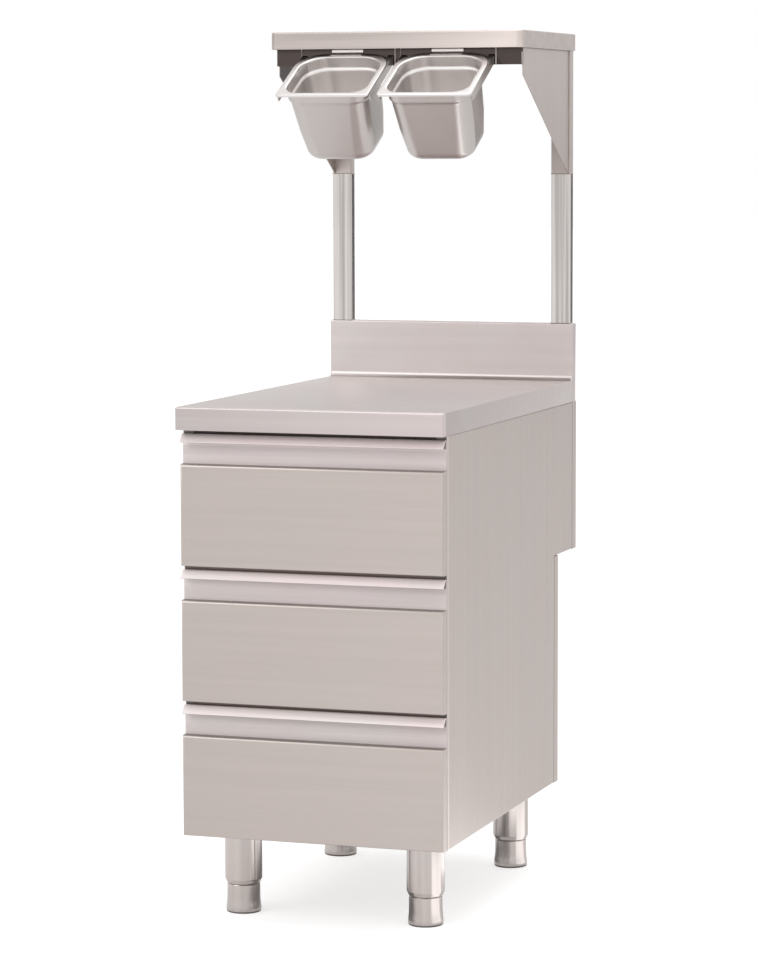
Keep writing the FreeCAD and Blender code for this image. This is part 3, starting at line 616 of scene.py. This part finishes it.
class Pattern(Tree):
    """A tree that makes one thing at many places, with a named input for each of its sizes."""

    def __init__(self, name, *sizes):
        super().__init__(bpy.data.node_groups.new(name, "GeometryNodeTree"))
        sockets = self.tree.interface
        sockets.new_socket("places", in_out="INPUT", socket_type="NodeSocketGeometry")
        self.identifiers = {size: sockets.new_socket(
            size, in_out="INPUT", socket_type="NodeSocketFloat").identifier for size in sizes}
        self.identifiers["finish"] = sockets.new_socket(
            "finish", in_out="INPUT", socket_type="NodeSocketMaterial").identifier
        sockets.new_socket("made", in_out="OUTPUT", socket_type="NodeSocketGeometry")
        self.given = self.node("NodeGroupInput")
        self.places = self.given.outputs["places"]

    def size(self, name):
        return Field(self.tree, self.given.outputs[name])

    def made(self, kind, settings=None, inputs=None):
        """The geometry that comes out of a node."""
        return self.node(kind, settings, inputs).outputs[0]

    def repeat(self, points, shape, scale=(1.0, 1.0, 1.0)):
        """Ends the tree with the shape at every point, turned as the point faces."""
        facing = self.made("GeometryNodeInputNamedAttribute", {"data_type": "FLOAT_VECTOR"},
                           {"Name": FACING})
        turned = self.made("FunctionNodeAlignRotationToVector", {"axis": "Z"},
                           {"Vector": facing})
        copies = self.made("GeometryNodeInstanceOnPoints", inputs={
            "Points": points, "Instance": shape, "Rotation": turned, "Scale": scale})
        real = self.made("GeometryNodeRealizeInstances", inputs={"Geometry": copies})
        smooth = self.made("GeometryNodeSetShadeSmooth", inputs={"Geometry": real})
        finished = self.made("GeometryNodeSetMaterial", inputs={
            "Geometry": smooth, "Material": self.given.outputs["finish"]})
        self.node("NodeGroupOutput", inputs={"made": finished})
        return self

    def piece(self, name, finish, places, edges=(), **sizes):
        """A plain piece made at (place, facing) pairs, or along the edges between them.

        An underscore in the name of a size stands for a space.
        """
        data = bpy.data.meshes.new(name + "_places")
        data.from_pydata([place for place, facing in places], edges, [])
        mark = data.attributes.new(FACING, "FLOAT_VECTOR", "POINT")
        mark.data.foreach_set("vector", [part for place, facing in places for part in facing])
        draft = bpy.data.objects.new(name + "_places", data)
        pattern = draft.modifiers.new("pattern", "NODES")
        pattern.node_group = self.tree
        pattern[self.identifiers["finish"]] = finish
        for size, amount in sizes.items():
            pattern[self.identifiers[size.replace("_", " ")]] = amount
        bpy.context.scene.collection.objects.link(draft)
        piece = as_made(draft, name)
        piece.data.set_sharp_from_angle(angle=SHARP_ANGLE)
        return piece


def fastener():
    """A screw or a rivet: a low tapered head with a hexagon socket."""
    pattern = Pattern("fastener", "head radius", "head height", "socket radius")
    radius = pattern.size("head radius")
    height = pattern.size("head height")
    head = pattern.made("GeometryNodeMeshCone", inputs={
        "Vertices": 24, "Radius Top": radius * 0.72, "Radius Bottom": radius, "Depth": height})
    hexagon = pattern.made("GeometryNodeMeshCylinder", inputs={
        "Vertices": 6, "Radius": pattern.size("socket radius"), "Depth": height * 1.2})
    raised = pattern.made("GeometryNodeTransform", inputs={
        "Geometry": hexagon,
        "Translation": pattern.made("ShaderNodeCombineXYZ", inputs={"Z": height})})
    cut = pattern.made("GeometryNodeMeshBoolean", {"operation": "DIFFERENCE"},
                       {"Mesh 1": head, "Mesh 2": raised})
    return pattern.repeat(pattern.places, cut)


def weld_bead():
    """Overlapping flat drops along a line."""
    pattern = Pattern("weld_bead", "width", "pitch")
    line = pattern.made("GeometryNodeMeshToCurve", inputs={"Mesh": pattern.places})
    points = pattern.made("GeometryNodeResampleCurve", {"mode": "LENGTH"}, {
        "Curve": line, "Length": pattern.size("pitch")})
    drop = pattern.made("GeometryNodeMeshUVSphere", inputs={
        "Segments": 10, "Rings": 5, "Radius": pattern.size("width") * 0.5})
    return pattern.repeat(points, drop, scale=(1.0, 1.0, 0.55))


def thread():
    """A screw thread that winds up from each place."""
    pattern = Pattern("thread", "core radius", "depth", "pitch", "length")
    radius = pattern.size("core radius")
    length = pattern.size("length")
    winding = pattern.made("GeometryNodeCurveSpiral", inputs={
        "Resolution": 24, "Rotations": length / pattern.size("pitch"), "Start Radius": radius,
        "End Radius": radius, "Height": length})
    ridge = pattern.made("GeometryNodeCurvePrimitiveCircle", inputs={
        "Resolution": 6, "Radius": pattern.size("depth")})
    swept = pattern.made("GeometryNodeCurveToMesh", inputs={
        "Curve": winding, "Profile Curve": ridge, "Fill Caps": True})
    return pattern.repeat(pattern.places, swept)


FASTENER = fastener()
WELD_BEAD = weld_bead()
THREAD = thread()


def fasteners(name, slot, places, body="cabinet", **sizes):
    """Screws or rivets at (place, facing) pairs."""
    fitted(FASTENER.piece(name, screw_steel, places, **sizes), screw_steel, slot, body=body)


def welds(name, metal, slot, places, edges, **sizes):
    """Weld beads along the edges between (place, facing) pairs."""
    fitted(WELD_BEAD.piece(name, metal, places, edges, **sizes), metal, slot)


# ---- Carcass ----

WALL = 1.5 * MM
BEND = 3 * MM
FOLD = 20 * MM


def side_panel(hand, side):
    """A stepped sheet with its edges folded inwards all round."""
    node = f"{hand}_side_panel"
    low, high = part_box(node)
    lower_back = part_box("lower_back_cover")[0].y
    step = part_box("upper_back_cover")[0].z
    outline = [Vector(p) for p in (
        (low.y, low.z), (lower_back, low.z), (lower_back, step), (high.y, step),
        (high.y, high.z), (low.y, high.z))]
    face = high.x if side > 0 else low.x
    form = Form().loft("YZ", outline, tray_profile(face, -side, FOLD, WALL, BEND))
    form.piece(f"{hand}_side_sheet", panel_steel, "panel_steel", node)


def rear_cover(node):
    """A tray over the back, held by three screws down each side."""
    low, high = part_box(node)
    screw_height = 0.95 * MM
    sunk = 0.05 * MM
    inset = 12 * MM
    face = high.y - sunk - screw_height
    outline = rectangle(low.x, high.x, low.z, high.z)
    form = Form().loft("XZ", outline, tray_profile(face, -1, face - low.y, WALL, BEND))
    form.piece(f"{node}_sheet", panel_steel, "panel_steel", node)
    places = []
    for across in (low.x + inset, high.x - inset):
        for level in (low.z + 2 * inset, (low.z + high.z) / 2, high.z - 2 * inset):
            places.append(((across, face - sunk, level), (0, 1, 0)))
    fasteners(f"{node}_screws", "panel_steel", places,
              head_radius=4.5 * MM, head_height=screw_height, socket_radius=1.7 * MM)


def carcass():
    for hand, side in SIDES.items():
        side_panel(hand, side)
    rear_cover("lower_back_cover")
    rear_cover("upper_back_cover")
    # the top frame and the cross rails take painted shade on their forward faces
    for node, finish in (
            ("top_frame", top_front_painted_shade_steel), ("top_cross_rail", top_front_painted_shade_steel),
            ("upper_cross_rail", rail_front_painted_shade_steel), ("lower_cross_rail", rail_front_painted_shade_steel),
            ("left_runner_uprights", frame_steel), ("right_runner_uprights", frame_steel)):
        eased(node, finish, "frame_steel")
    eased("bottom_panel", panel_steel, "panel_steel")
    eased("step_panel", panel_steel, "panel_steel")
    eased("worktop_underlay", underlay_board, "underlay_board")


# ---- Worktop ----

APRON = 40 * MM
APRON_RETURN = 15 * MM
UPSTAND_THICKNESS = 22 * MM
COVE = 10 * MM
WORKTOP_END_BEND = 2.5 * MM


def worktop():
    """One folded sheet with closed, rounded ends, open below."""
    low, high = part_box("worktop")
    top = low.z + APRON
    upstand = high.y - UPSTAND_THICKNESS
    corners = [(low.y, low.z), (low.y, top), (upstand, top), (upstand, high.z),
               (high.y, high.z), (high.y, low.z)]
    outline = rounded(corners, [0, BEND, COVE, BEND, 1.2 * MM, 0], steps=6)[::-1]
    end_steps = 4
    skins = []
    for wall in (0, WALL):
        bend = WORKTOP_END_BEND - wall
        rings = []
        for side in SIDES.values():
            steps = range(end_steps + 1) if side < 0 else range(end_steps, -1, -1)
            for step in steps:
                angle = math.pi / 2 * step / end_steps
                ring = offset(outline, wall + bend * (1 - math.sin(angle)))
                # the open bottom stays level
                ring[0].y = ring[-1].y = low.z
                across = side * (high.x - wall) - side * bend * (1 - math.cos(angle))
                rings.append(lifted(ring, "YZ", across))
        skins.append(rings)
    Form().shell(*skins).piece("worktop_sheet", worktop_steel, "worktop_steel", "worktop")
    inside = low.y + WALL
    section = folded([(inside, low.z + 6 * MM), (inside, low.z), (low.y + APRON_RETURN, low.z)],
                     [0, 2 * MM, 0], WALL)
    returned = Form().prism("YZ", low.x + WALL, high.x - WALL, section)
    returned.piece("worktop_return", worktop_steel, "worktop_steel")


# ---- Drawers ----

PANEL_HEIGHT = 176 * MM
LEDGE_RISE = 1 * MM
FRONT_THICKNESS = 17 * MM
SIDE_BEND = 4.5 * MM
BOTTOM_BEND = 2.2 * MM
LEDGE_BEND = 4.5 * MM
LIP_REACH = 6 * MM          # how far the lip may stand in front of the face
LIP_SET_BACK = 3.5 * MM     # and how far behind that it stays
LIP_DROP = 14 * MM
LIP_TOP = 11.5 * MM
LIP_BEND = 4 * MM
LIP_END_SHADE_WIDTH = 4 * MM
LIP_END_SHADE_DEPTH = 3 * MM
BOX_WALL = 1.2 * MM
BOX_BEND = 2.4 * MM
BOX_CORNER = 1.5 * MM
BOX_HEM = 7 * MM
SCREW_OFFSET = 150 * MM
SCREW_RISES = (35 * MM, 110 * MM)


def drawer_front(name):
    """The folded face, the finger recess's sheet with its lip, and painted shade at the lip's ends.
    """
    node = f"{name}_drawer_front"
    body = f"{name}_drawer"
    low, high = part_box(node)
    face = low.y + LIP_REACH
    ledge = low.z + PANEL_HEIGHT
    # the face is folded back on all four sides; its upper fold slopes up into the recess
    rings = []
    for (side, bottom, top), level in tray_rings(
            FRONT_THICKNESS, WALL, [SIDE_BEND, BOTTOM_BEND, LEDGE_BEND]):
        rise = level * LEDGE_RISE / (FRONT_THICKNESS - WALL)
        outline = rectangle(low.x + side, high.x - side, low.z + bottom, ledge - top + rise)
        rings.append(lifted(outline, "XZ", face + level))
    Form().skin(rings).piece(f"{name}_front_face", front_steel, "front_steel", node, body=body)
    # the lip leans out over the recess
    path = [(high.y, ledge + LEDGE_RISE - 2 * MM), (high.y, high.z), (face + LIP_TOP, high.z),
            (low.y + LIP_SET_BACK, high.z - LIP_DROP)]
    grip = Form().prism("YZ", low.x, high.x, folded(path, [0, BEND, LIP_BEND, 0], WALL))
    grip.piece(f"{name}_front_grip", grip_steel_painted_light, "front_steel", body=body, bevel=0.35 * MM)
    # dark blocks at both ends of the lip: painted shade in the hollow under it
    for hand, side in SIDES.items():
        across = sorted([side * (high.x - 0.3 * MM), side * (high.x - LIP_END_SHADE_WIDTH)])
        end = Form().prism("XZ", high.y - LIP_END_SHADE_DEPTH, high.y - WALL, rectangle(
            *across, high.z - LIP_DROP - 1 * MM, high.z - BEND))
        end.piece(f"{name}_grip_end_{hand}", lip_end_painted_shade, "front_steel", body=body,
                  bevel=0.3 * MM)


def drawer_box(name):
    """A folded box with hemmed edges, screwed to the front and riveted to the runners."""
    node = f"{name}_drawer_box"
    body = f"{name}_drawer"
    low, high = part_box(node)
    outline = rounded(rectangle(low.x, high.x, low.y, high.y), [BOX_CORNER] * 4, steps=3)
    profile = tray_profile(low.z, 1, high.z - low.z, BOX_WALL, BOX_BEND)
    half = len(profile) // 2
    ease = 0.35 * MM
    rim = [(0, high.z - BOX_WALL), (ease, high.z - ease), (BOX_WALL, high.z), (BOX_HEM, high.z),
           (BOX_HEM, high.z - BOX_WALL), (BOX_WALL, high.z - BOX_WALL)]
    form = Form().loft("XY", outline, profile[:half - 2] + rim + profile[half + 2:])
    form.piece(f"{name}_box_sheet", box_steel, "box_steel", node, body=body)
    seat = BOX_WALL - 0.1 * MM      # the fasteners' heads start just below the inner face
    screws = []
    for across in (-SCREW_OFFSET, SCREW_OFFSET):
        for rise in SCREW_RISES:
            screws.append(((across, low.y + seat, low.z + rise), (0, 1, 0)))
    fasteners(f"{name}_front_screws", "box_steel", screws, body,
              head_radius=5 * MM, head_height=2.2 * MM, socket_radius=2.3 * MM)
    runner_low, runner_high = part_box(f"{name}_inner_runner_left")
    level = (runner_low.z + runner_high.z) / 2
    margin = 45 * MM
    gaps = 4
    rivets = []
    for side in SIDES.values():
        for i in range(gaps + 1):
            back = low.y + margin + i * (high.y - low.y - 2 * margin) / gaps
            rivets.append(((side * (high.x - seat), back, level), (-side, 0, 0)))
    fasteners(f"{name}_runner_rivets", "box_steel", rivets, body,
              head_radius=4 * MM, head_height=1.2 * MM, socket_radius=1.2 * MM)


def drawer(name):
    drawer_front(name)
    drawer_box(name)
    eased(f"{name}_drawer_liner", frame_steel, "frame_steel", f"{name}_drawer", bevel=0.2 * MM)
    bodies = {"outer": "cabinet", "middle": f"{name}_middle_runners", "inner": f"{name}_drawer"}
    for hand in SIDES:
        for part, body in bodies.items():
            eased(f"{name}_{part}_runner_{hand}", runner_steel, "runner_steel", body,
                  bevel=0.5 * MM)


# ---- Legs ----

def leg_places():
    """Each foot's name, and its axis."""
    for row in ("front", "rear"):
        for hand in SIDES:
            low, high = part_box(f"{row}_{hand}_foot")
            yield f"{row}_{hand}", (low.x + high.x) / 2, (low.y + high.y) / 2


LEG_RADIUS = 33 * MM
NECK_RADIUS = 30 * MM
BORE_RADIUS = 8.4 * MM
SPINDLE_RADIUS = 7.2 * MM       # inside the thread
THREAD_DEPTH = 0.8 * MM
THREAD_PITCH = 2 * MM
BASE_RADIUS = 31 * MM
BASE_HEIGHT = 51 * MM
BASE_TOP_RADIUS = 29 * MM
PAD_RADIUS = 30 * MM
PAD_HEIGHT = 2.2 * MM


def legs():
    """Tubes with a tapered neck at the bottom, bored for the spindle of the foot."""
    low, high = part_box("legs")
    form = Form()
    for name, across, back in leg_places():
        bore_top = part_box(f"{name}_foot")[1].z + 3 * MM
        form.turn(across, back, [
            (BORE_RADIUS, bore_top), (BORE_RADIUS, low.z), (NECK_RADIUS - 0.8 * MM, low.z),
            (NECK_RADIUS, low.z + 0.8 * MM), (NECK_RADIUS + 0.2 * MM, low.z + 2 * MM),
            (LEG_RADIUS - 0.6 * MM, low.z + 6.5 * MM), (LEG_RADIUS, low.z + 8 * MM),
            (LEG_RADIUS, high.z - 1 * MM), (LEG_RADIUS - 1 * MM, high.z),
        ])
    form.piece("leg_tubes", leg_steel, "leg_steel", "legs")
    for name, across, back in leg_places():
        foot(name, across, back)


def foot(name, across, back):
    """A flared base on a threaded spindle, with a rubber pad under it."""
    node = f"{name}_foot"
    top = BASE_HEIGHT
    spindle_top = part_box(node)[1].z
    base = Form().turn(across, back, [
        (26 * MM, PAD_HEIGHT), (29.6 * MM, PAD_HEIGHT),
        (BASE_RADIUS - 0.4 * MM, PAD_HEIGHT + 0.8 * MM), (BASE_RADIUS, PAD_HEIGHT + 2.4 * MM),
        (30.9 * MM, 9 * MM), (30.1 * MM, 15 * MM), (29.4 * MM, 24 * MM), (29.1 * MM, 36 * MM),
        (BASE_TOP_RADIUS, top - 1.2 * MM), (BASE_TOP_RADIUS - 0.8 * MM, top),
        (SPINDLE_RADIUS, top), (SPINDLE_RADIUS, spindle_top),
    ])
    base.piece(f"{node}_turned", foot_steel, "foot_steel", node, body=node)
    pad = Form().turn(across, back, [
        (PAD_RADIUS - 3 * MM, 0), (PAD_RADIUS - 0.6 * MM, 0), (PAD_RADIUS, 0.6 * MM),
        (PAD_RADIUS, PAD_HEIGHT), (PAD_RADIUS - 3 * MM, PAD_HEIGHT)])
    pad.piece(f"{node}_pad", pad_rubber, "foot_steel", body=node)
    start = ((across, back, top + THREAD_PITCH), (0, 0, 1))
    winding = THREAD.piece(
        f"{node}_thread", foot_steel, [start], core_radius=SPINDLE_RADIUS, depth=THREAD_DEPTH,
        pitch=THREAD_PITCH, length=spindle_top - top - 2 * THREAD_PITCH)
    fitted(winding, foot_steel, "foot_steel", body=node)


# ---- Gantry ----

GUSSET_DROP = 48 * MM
POST_CORNER = 2.5 * MM
STITCH_RISES = (3 * MM, 100 * MM, 195 * MM)
STITCH_LENGTH = 22 * MM
SHELF_CORNER = 12 * MM
SHELF_BACK_CORNER = 4 * MM
SHELF_BEND = 2.6 * MM
PAN_TILT = math.radians(28)
PAN_WIDTH = 176 * MM
PAN_LENGTH = 162 * MM


def post(hand):
    """A tube, bright below the gusset and darker satin beside it as painted reflection, with its
    welds.
    """
    node = f"{hand}_post"
    low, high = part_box(node)
    gusset_low, gusset_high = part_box(f"{hand}_gusset")
    outside = rounded(rectangle(low.x, high.x, low.y, high.y), [POST_CORNER] * 4)
    inside = rounded(rectangle(low.x + WALL, high.x - WALL, low.y + WALL, high.y - WALL),
                     [POST_CORNER - WALL] * 4)
    # the part beside the gusset takes the gusset's steel: painted reflection of the dark pans and
    # holder
    for part, start, end, finish, nodes in (
            ("tube", low.z, gusset_low.z, post_steel_painted_reflections, [node]),
            ("head", gusset_low.z, high.z, gantry_steel, [])):
        rings = [(outside, start), (outside, end), (inside, end), (inside, start),
                 (outside, start)]
        form = Form().skin([lifted(points, "XY", at) for points, at in rings], capped=False)
        bmesh.ops.remove_doubles(form.mesh, verts=form.mesh.verts, dist=SAME_PLACE)
        form.piece(f"{hand}_post_{part}", finish, "gantry_steel", *nodes)
    # round the foot and below the gusset, and stitches that hold the gusset to the post
    places = []
    edges = []
    for level in (low.z, gusset_low.z):
        first = len(places)
        places += [((point.x, point.y, level), (0, 0, 1)) for point in outside]
        edges += [(first + i, first + (i + 1) % len(outside)) for i in range(len(outside))]
    edge = gusset_high.x if SIDES[hand] > 0 else gusset_low.x
    for rise in STITCH_RISES:
        for level in (gusset_low.z + rise, gusset_low.z + rise + STITCH_LENGTH):
            places.append(((edge, low.y, level), (SIDES[hand], -1, 0)))
        edges.append((len(places) - 2, len(places) - 1))
    welds(f"{hand}_post_welds", weld_metal, "gantry_steel", places, edges,
          width=2.4 * MM, pitch=1.1 * MM)


def shelf():
    """A tray, open below, with rounder corners in front."""
    low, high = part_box("shelf")
    rings = []
    for inset, level in tray_profile(high.z, -1, high.z - low.z, WALL, SHELF_BEND):
        corners = rectangle(low.x + inset, high.x - inset, low.y + inset, high.y - inset)
        radii = [SHELF_CORNER - inset] * 2 + [SHELF_BACK_CORNER - inset] * 2
        rings.append(lifted(rounded(corners, radii, steps=8), "XY", level))
    Form().skin(rings).piece("shelf_sheet", shelf_steel, "gantry_steel", "shelf")


def gusset(hand):
    """A side plate from the shelf down to the post."""
    node = f"{hand}_gusset"
    low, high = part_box(node)
    straight_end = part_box("shelf")[0].z - GUSSET_DROP
    plate = [Vector(p) for p in ((low.y, straight_end), (high.y, low.z), (high.y, high.z),
                                 (low.y, high.z))]
    ease = 0.4 * MM
    form = Form().loft("YZ", plate, [(ease, low.x), (0, low.x + ease), (0, high.x - ease),
                                     (ease, high.x)])
    form.piece(f"{hand}_gusset_sheet", gantry_steel, "gantry_steel", node)


def pan_section():
    """(inset, depth, front corner, back corner) of each ring of a pan, in millimetres.

    The rings run from the bottom's outside up the wall, over the rim, and down inside.
    """
    wall = 0.9
    pan_depth = 150
    bottom_round = 22
    base = 23
    round_steps = 6
    outside = []
    for step in range(round_steps + 1):
        angle = math.pi / 2 * step / round_steps
        drawn_in = bottom_round * (1 - math.sin(angle))
        depth = pan_depth - bottom_round * (1 - math.cos(angle))
        outside.append((base + drawn_in, depth, 33 - drawn_in * 0.9, 36 - drawn_in))
    # up the wall to the shoulder, and out under the rim
    outside += [(18, 90, 33, 39), (13.9, 31, 31, 43), (13.4, 27.5, 31, 43.5), (12.9, 25.6, 31, 44),
                (11.6, 23.8, 30.5, 45.5), (11.1, 22, 30, 46), (11, 20, 30, 46), (11, 4, 30, 46),
                (10.3, 1.9, 29, 46), (8.6, 0.9, 27, 46)]
    edge = [(2, 0.9, 8, 49), (1.1, 1.5, 7.6, 49), (0.9, 2.2, 7.2, 49.1), (0.9, 4, 7.2, 49.1),
            (0, 4, 8, 50), (0, 1.6, 8, 50), (0.5, 0.5, 8, 49.5), (1.6, 0, 8.5, 48.6),
            (8, 0, 24, 46.4)]
    inside = [(9.6, 0.15, 27, 45.5), (11, 0.9, 28.5, 45.2)]
    for inset, depth, front, back in reversed(outside):
        if depth > wall:
            lift = wall if depth > pan_depth - 1 else 0
            inside.append((inset + wall, depth - lift - 0.4, front - wall, back - wall))
    return outside, edge, inside


def pan(hand):
    """A drawn pan, tilted towards the front about the back edge of its rim."""
    node = f"{hand}_pan"
    low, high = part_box(node)
    across = (low.x + high.x) / 2
    back_edge = low.y + PAN_LENGTH * math.cos(PAN_TILT)
    outside, edge, inside = pan_section()
    rings = []
    for inset, depth, front, back in outside + edge + inside:
        half = PAN_WIDTH / 2 - inset * MM
        corners = rectangle(-half, half, inset * MM, PAN_LENGTH - inset * MM)
        radii = [back * MM, back * MM, front * MM, front * MM]
        rings.append([
            (across + u,
             back_edge - v * math.cos(PAN_TILT) + depth * MM * math.sin(PAN_TILT),
             high.z - v * math.sin(PAN_TILT) - depth * MM * math.cos(PAN_TILT))
            for u, v in rounded(corners, radii, steps=12)])
    rim_start = len(outside)
    # the rim and the inside take painted light
    form = Form().skin(rings, painted_light_parts=[(rim_start, 1.0), (rim_start + len(edge) + 1, 0.5)])
    form.piece(f"{hand}_pan_drawn", pan_steel, "pan_steel", node, body=node)


def holder_welds(hand):
    """The upright welds at both edges of a pan holder's plate, pale as a painted highlight."""
    low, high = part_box(f"{hand}_pan_holder")
    rail_low, rail_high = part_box("pan_rail")
    places = []
    edges = []
    for edge in (low.x, high.x):
        for level in (rail_low.z + 2 * MM, rail_high.z - 4 * MM):
            places.append(((edge, rail_low.y - 0.5 * MM, level), (0, -1, 0)))
        edges.append((len(places) - 2, len(places) - 1))
    welds(f"{hand}_holder_welds", clip_steel_painted_highlight, "holder_steel", places, edges,
          width=2.2 * MM, pitch=1 * MM)


def gantry():
    for hand in SIDES:
        post(hand)
        gusset(hand)
        eased(f"{hand}_pan_holder", holder_steel, "holder_steel", bevel=0.3 * MM)
        pan(hand)
        holder_welds(hand)
    shelf()
    eased("pan_rail", rail_painted_shade_steel, "holder_steel")
    eased("pan_clips", clip_steel_painted_highlight, "holder_steel", bevel=0.2 * MM)


carcass()
worktop()
for drawer_name in DRAWERS:
    drawer(drawer_name)
legs()
gantry()


# ---- Studio ----

ON_FLOOR = 1 * MM
PALE_FLOOR = (0.60, 0.60, 0.60, 1.0)


def seen(finish, camera_value, mirror_value):
    """A number for what the camera sees itself, another for what a shiny surface shows, else 0."""
    path = finish.node("ShaderNodeLightPath")
    camera = Field(finish.tree, path.outputs["Is Camera Ray"])
    glossy = Field(finish.tree, path.outputs["Is Glossy Ray"])
    through = Field(finish.tree, path.outputs["Is Transmission Ray"])
    return camera * camera_value + (glossy + through) * mirror_value


def studio_world():
    """Even light, with a white backdrop."""
    light = Finish(bpy.data.worlds.new("studio"))
    colour = light.blend(seen(light, 1.0, 1.0), (0.8, 0.8, 0.8, 1.0), WHITE)
    background = light.node("ShaderNodeBackground", inputs={"Color": colour, "Strength": 1.0})
    light.node("ShaderNodeOutputWorld", inputs={"Surface": background.outputs["Background"]})
    bpy.context.scene.world = light.owner


def sheet_of(name, corners, finish):
    """A flat piece of studio furniture."""
    data = bpy.data.meshes.new(name)
    data.from_pydata(corners, [], [(0, 1, 2, 3)])
    data.materials.append(finish)
    sheet = bpy.data.objects.new(name, data)
    bpy.context.scene.collection.objects.link(sheet)
    return sheet


def floor():
    """A pale floor that keeps the object's shadow."""
    finish = new_finish("pale_floor")
    grain = finish.noise([6, 6, 6], detail=2)
    diffuse = finish.node("ShaderNodeBsdfPrincipled", inputs={
        "Base Color": finish.blend(grain, PALE_FLOOR, shade(PALE_FLOOR, 1.033)),
        "Roughness": 0.9})
    glow = finish.node("ShaderNodeEmission", inputs={
        "Color": WHITE, "Strength": seen(finish, 0.62, 0.42)})
    both = finish.node("ShaderNodeAddShader", inputs={
        "Shader": diffuse.outputs["BSDF"], "Shader_001": glow.outputs["Emission"]})
    finish.node("ShaderNodeOutputMaterial", inputs={"Surface": both.outputs["Shader"]})
    sheet_of("floor", level_corners(-14, 14, -14, 40, 0), finish.owner)


def card(name, corners, brightness):
    """A glowing card that shows only in the object's steel and lights nothing: a painted reflection.
    """
    finish = new_finish(name)
    cloth = finish.noise([9, 9, 9], detail=2)
    glow = finish.node("ShaderNodeEmission", inputs={
        "Color": finish.blend(cloth, shade(WHITE, 0.9), WHITE), "Strength": brightness})
    finish.node("ShaderNodeOutputMaterial", inputs={"Surface": glow.outputs["Emission"]})
    made = sheet_of(name, corners, finish.owner)
    made.visible_camera = False
    made.visible_diffuse = False
    made.visible_shadow = False
    made.visible_transmission = False


def level_corners(left, right, front, back, height):
    """The corners of a level sheet."""
    return [(left, front, height), (right, front, height), (right, back, height),
            (left, back, height)]


def wedge_corners(foot_name, first, last, near, far):
    """The corners of a card on the floor that widens away from a foot, between two headings.

    A heading is in degrees, from straight ahead towards the right.
    """
    across, back = next((x, y) for name, x, y in leg_places() if name == foot_name)
    corners = []
    for heading, reach in ((first, near), (first, far), (last, far), (last, near)):
        angle = math.radians(heading)
        corners.append((across + reach * math.sin(angle), back - reach * math.cos(angle), ON_FLOOR))
    return corners


def softbox(name, place, aim, width, watts):
    """A square lamp that looks at a point."""
    data = bpy.data.lights.new(name, "AREA")
    data.shape = "SQUARE"
    data.size = width
    data.energy = watts
    lamp = bpy.data.objects.new(name, data)
    lamp.location = place
    lamp.rotation_euler = (Vector(aim) - Vector(place)).to_track_quat("-Z", "Y").to_euler()
    bpy.context.scene.collection.objects.link(lamp)


def camera():
    """The view: from the front, a little to the right and from above the worktop."""
    place = (2.0148, -5.9067, 1.3732)
    yaw = 0.3309
    pitch = 0.1035
    roll = -0.0031
    focal_pixels = 3467.898
    image_height_pixels = 978
    data = bpy.data.cameras.new("camera")
    data.lens = focal_pixels * data.sensor_width / image_height_pixels
    data.clip_end = 100
    view = bpy.data.objects.new("camera", data)
    view.matrix_world = (
        Matrix.Translation(place) @ Matrix.Rotation(yaw, 4, "Z")
        @ Matrix.Rotation(math.pi / 2 - pitch, 4, "X") @ Matrix.Rotation(roll, 4, "Z"))
    bpy.context.scene.collection.objects.link(view)
    bpy.context.scene.camera = view


studio_world()
floor()
# a painted reflection of a grey card, behind the object to the right, in its steel
card("grey_card", [(1.1, 5.1, 0.6), (1.9, 4.8, 0.6), (1.9, 4.8, 1.35), (1.1, 5.1, 1.35)], 0.15)
# painted reflections of the shade on the floor under and beside the cabinet
card("under_shade", level_corners(-0.10, 0.10, -0.38, 0.28, ON_FLOOR), 0.25)
card("side_shade", level_corners(0.10, 0.21, -0.20, 0.12, ON_FLOOR), 0.40)
# painted highlights down the right legs, from bright cards on the floor
for foot_name in ("front_right", "rear_right"):
    card(f"{foot_name}_card", wedge_corners(foot_name, first=54, last=120, near=0.07, far=0.8), 2.1)
softbox("key", place=(-2.6, -3.4, 3.4), aim=(0, 0, 0.8), width=2.4, watts=60)
softbox("top", place=(0.4, 0.4, 4.2), aim=(0, 0, 0.9), width=3.0, watts=45)
camera()

bpy.context.scene.view_settings.view_transform = "Standard"
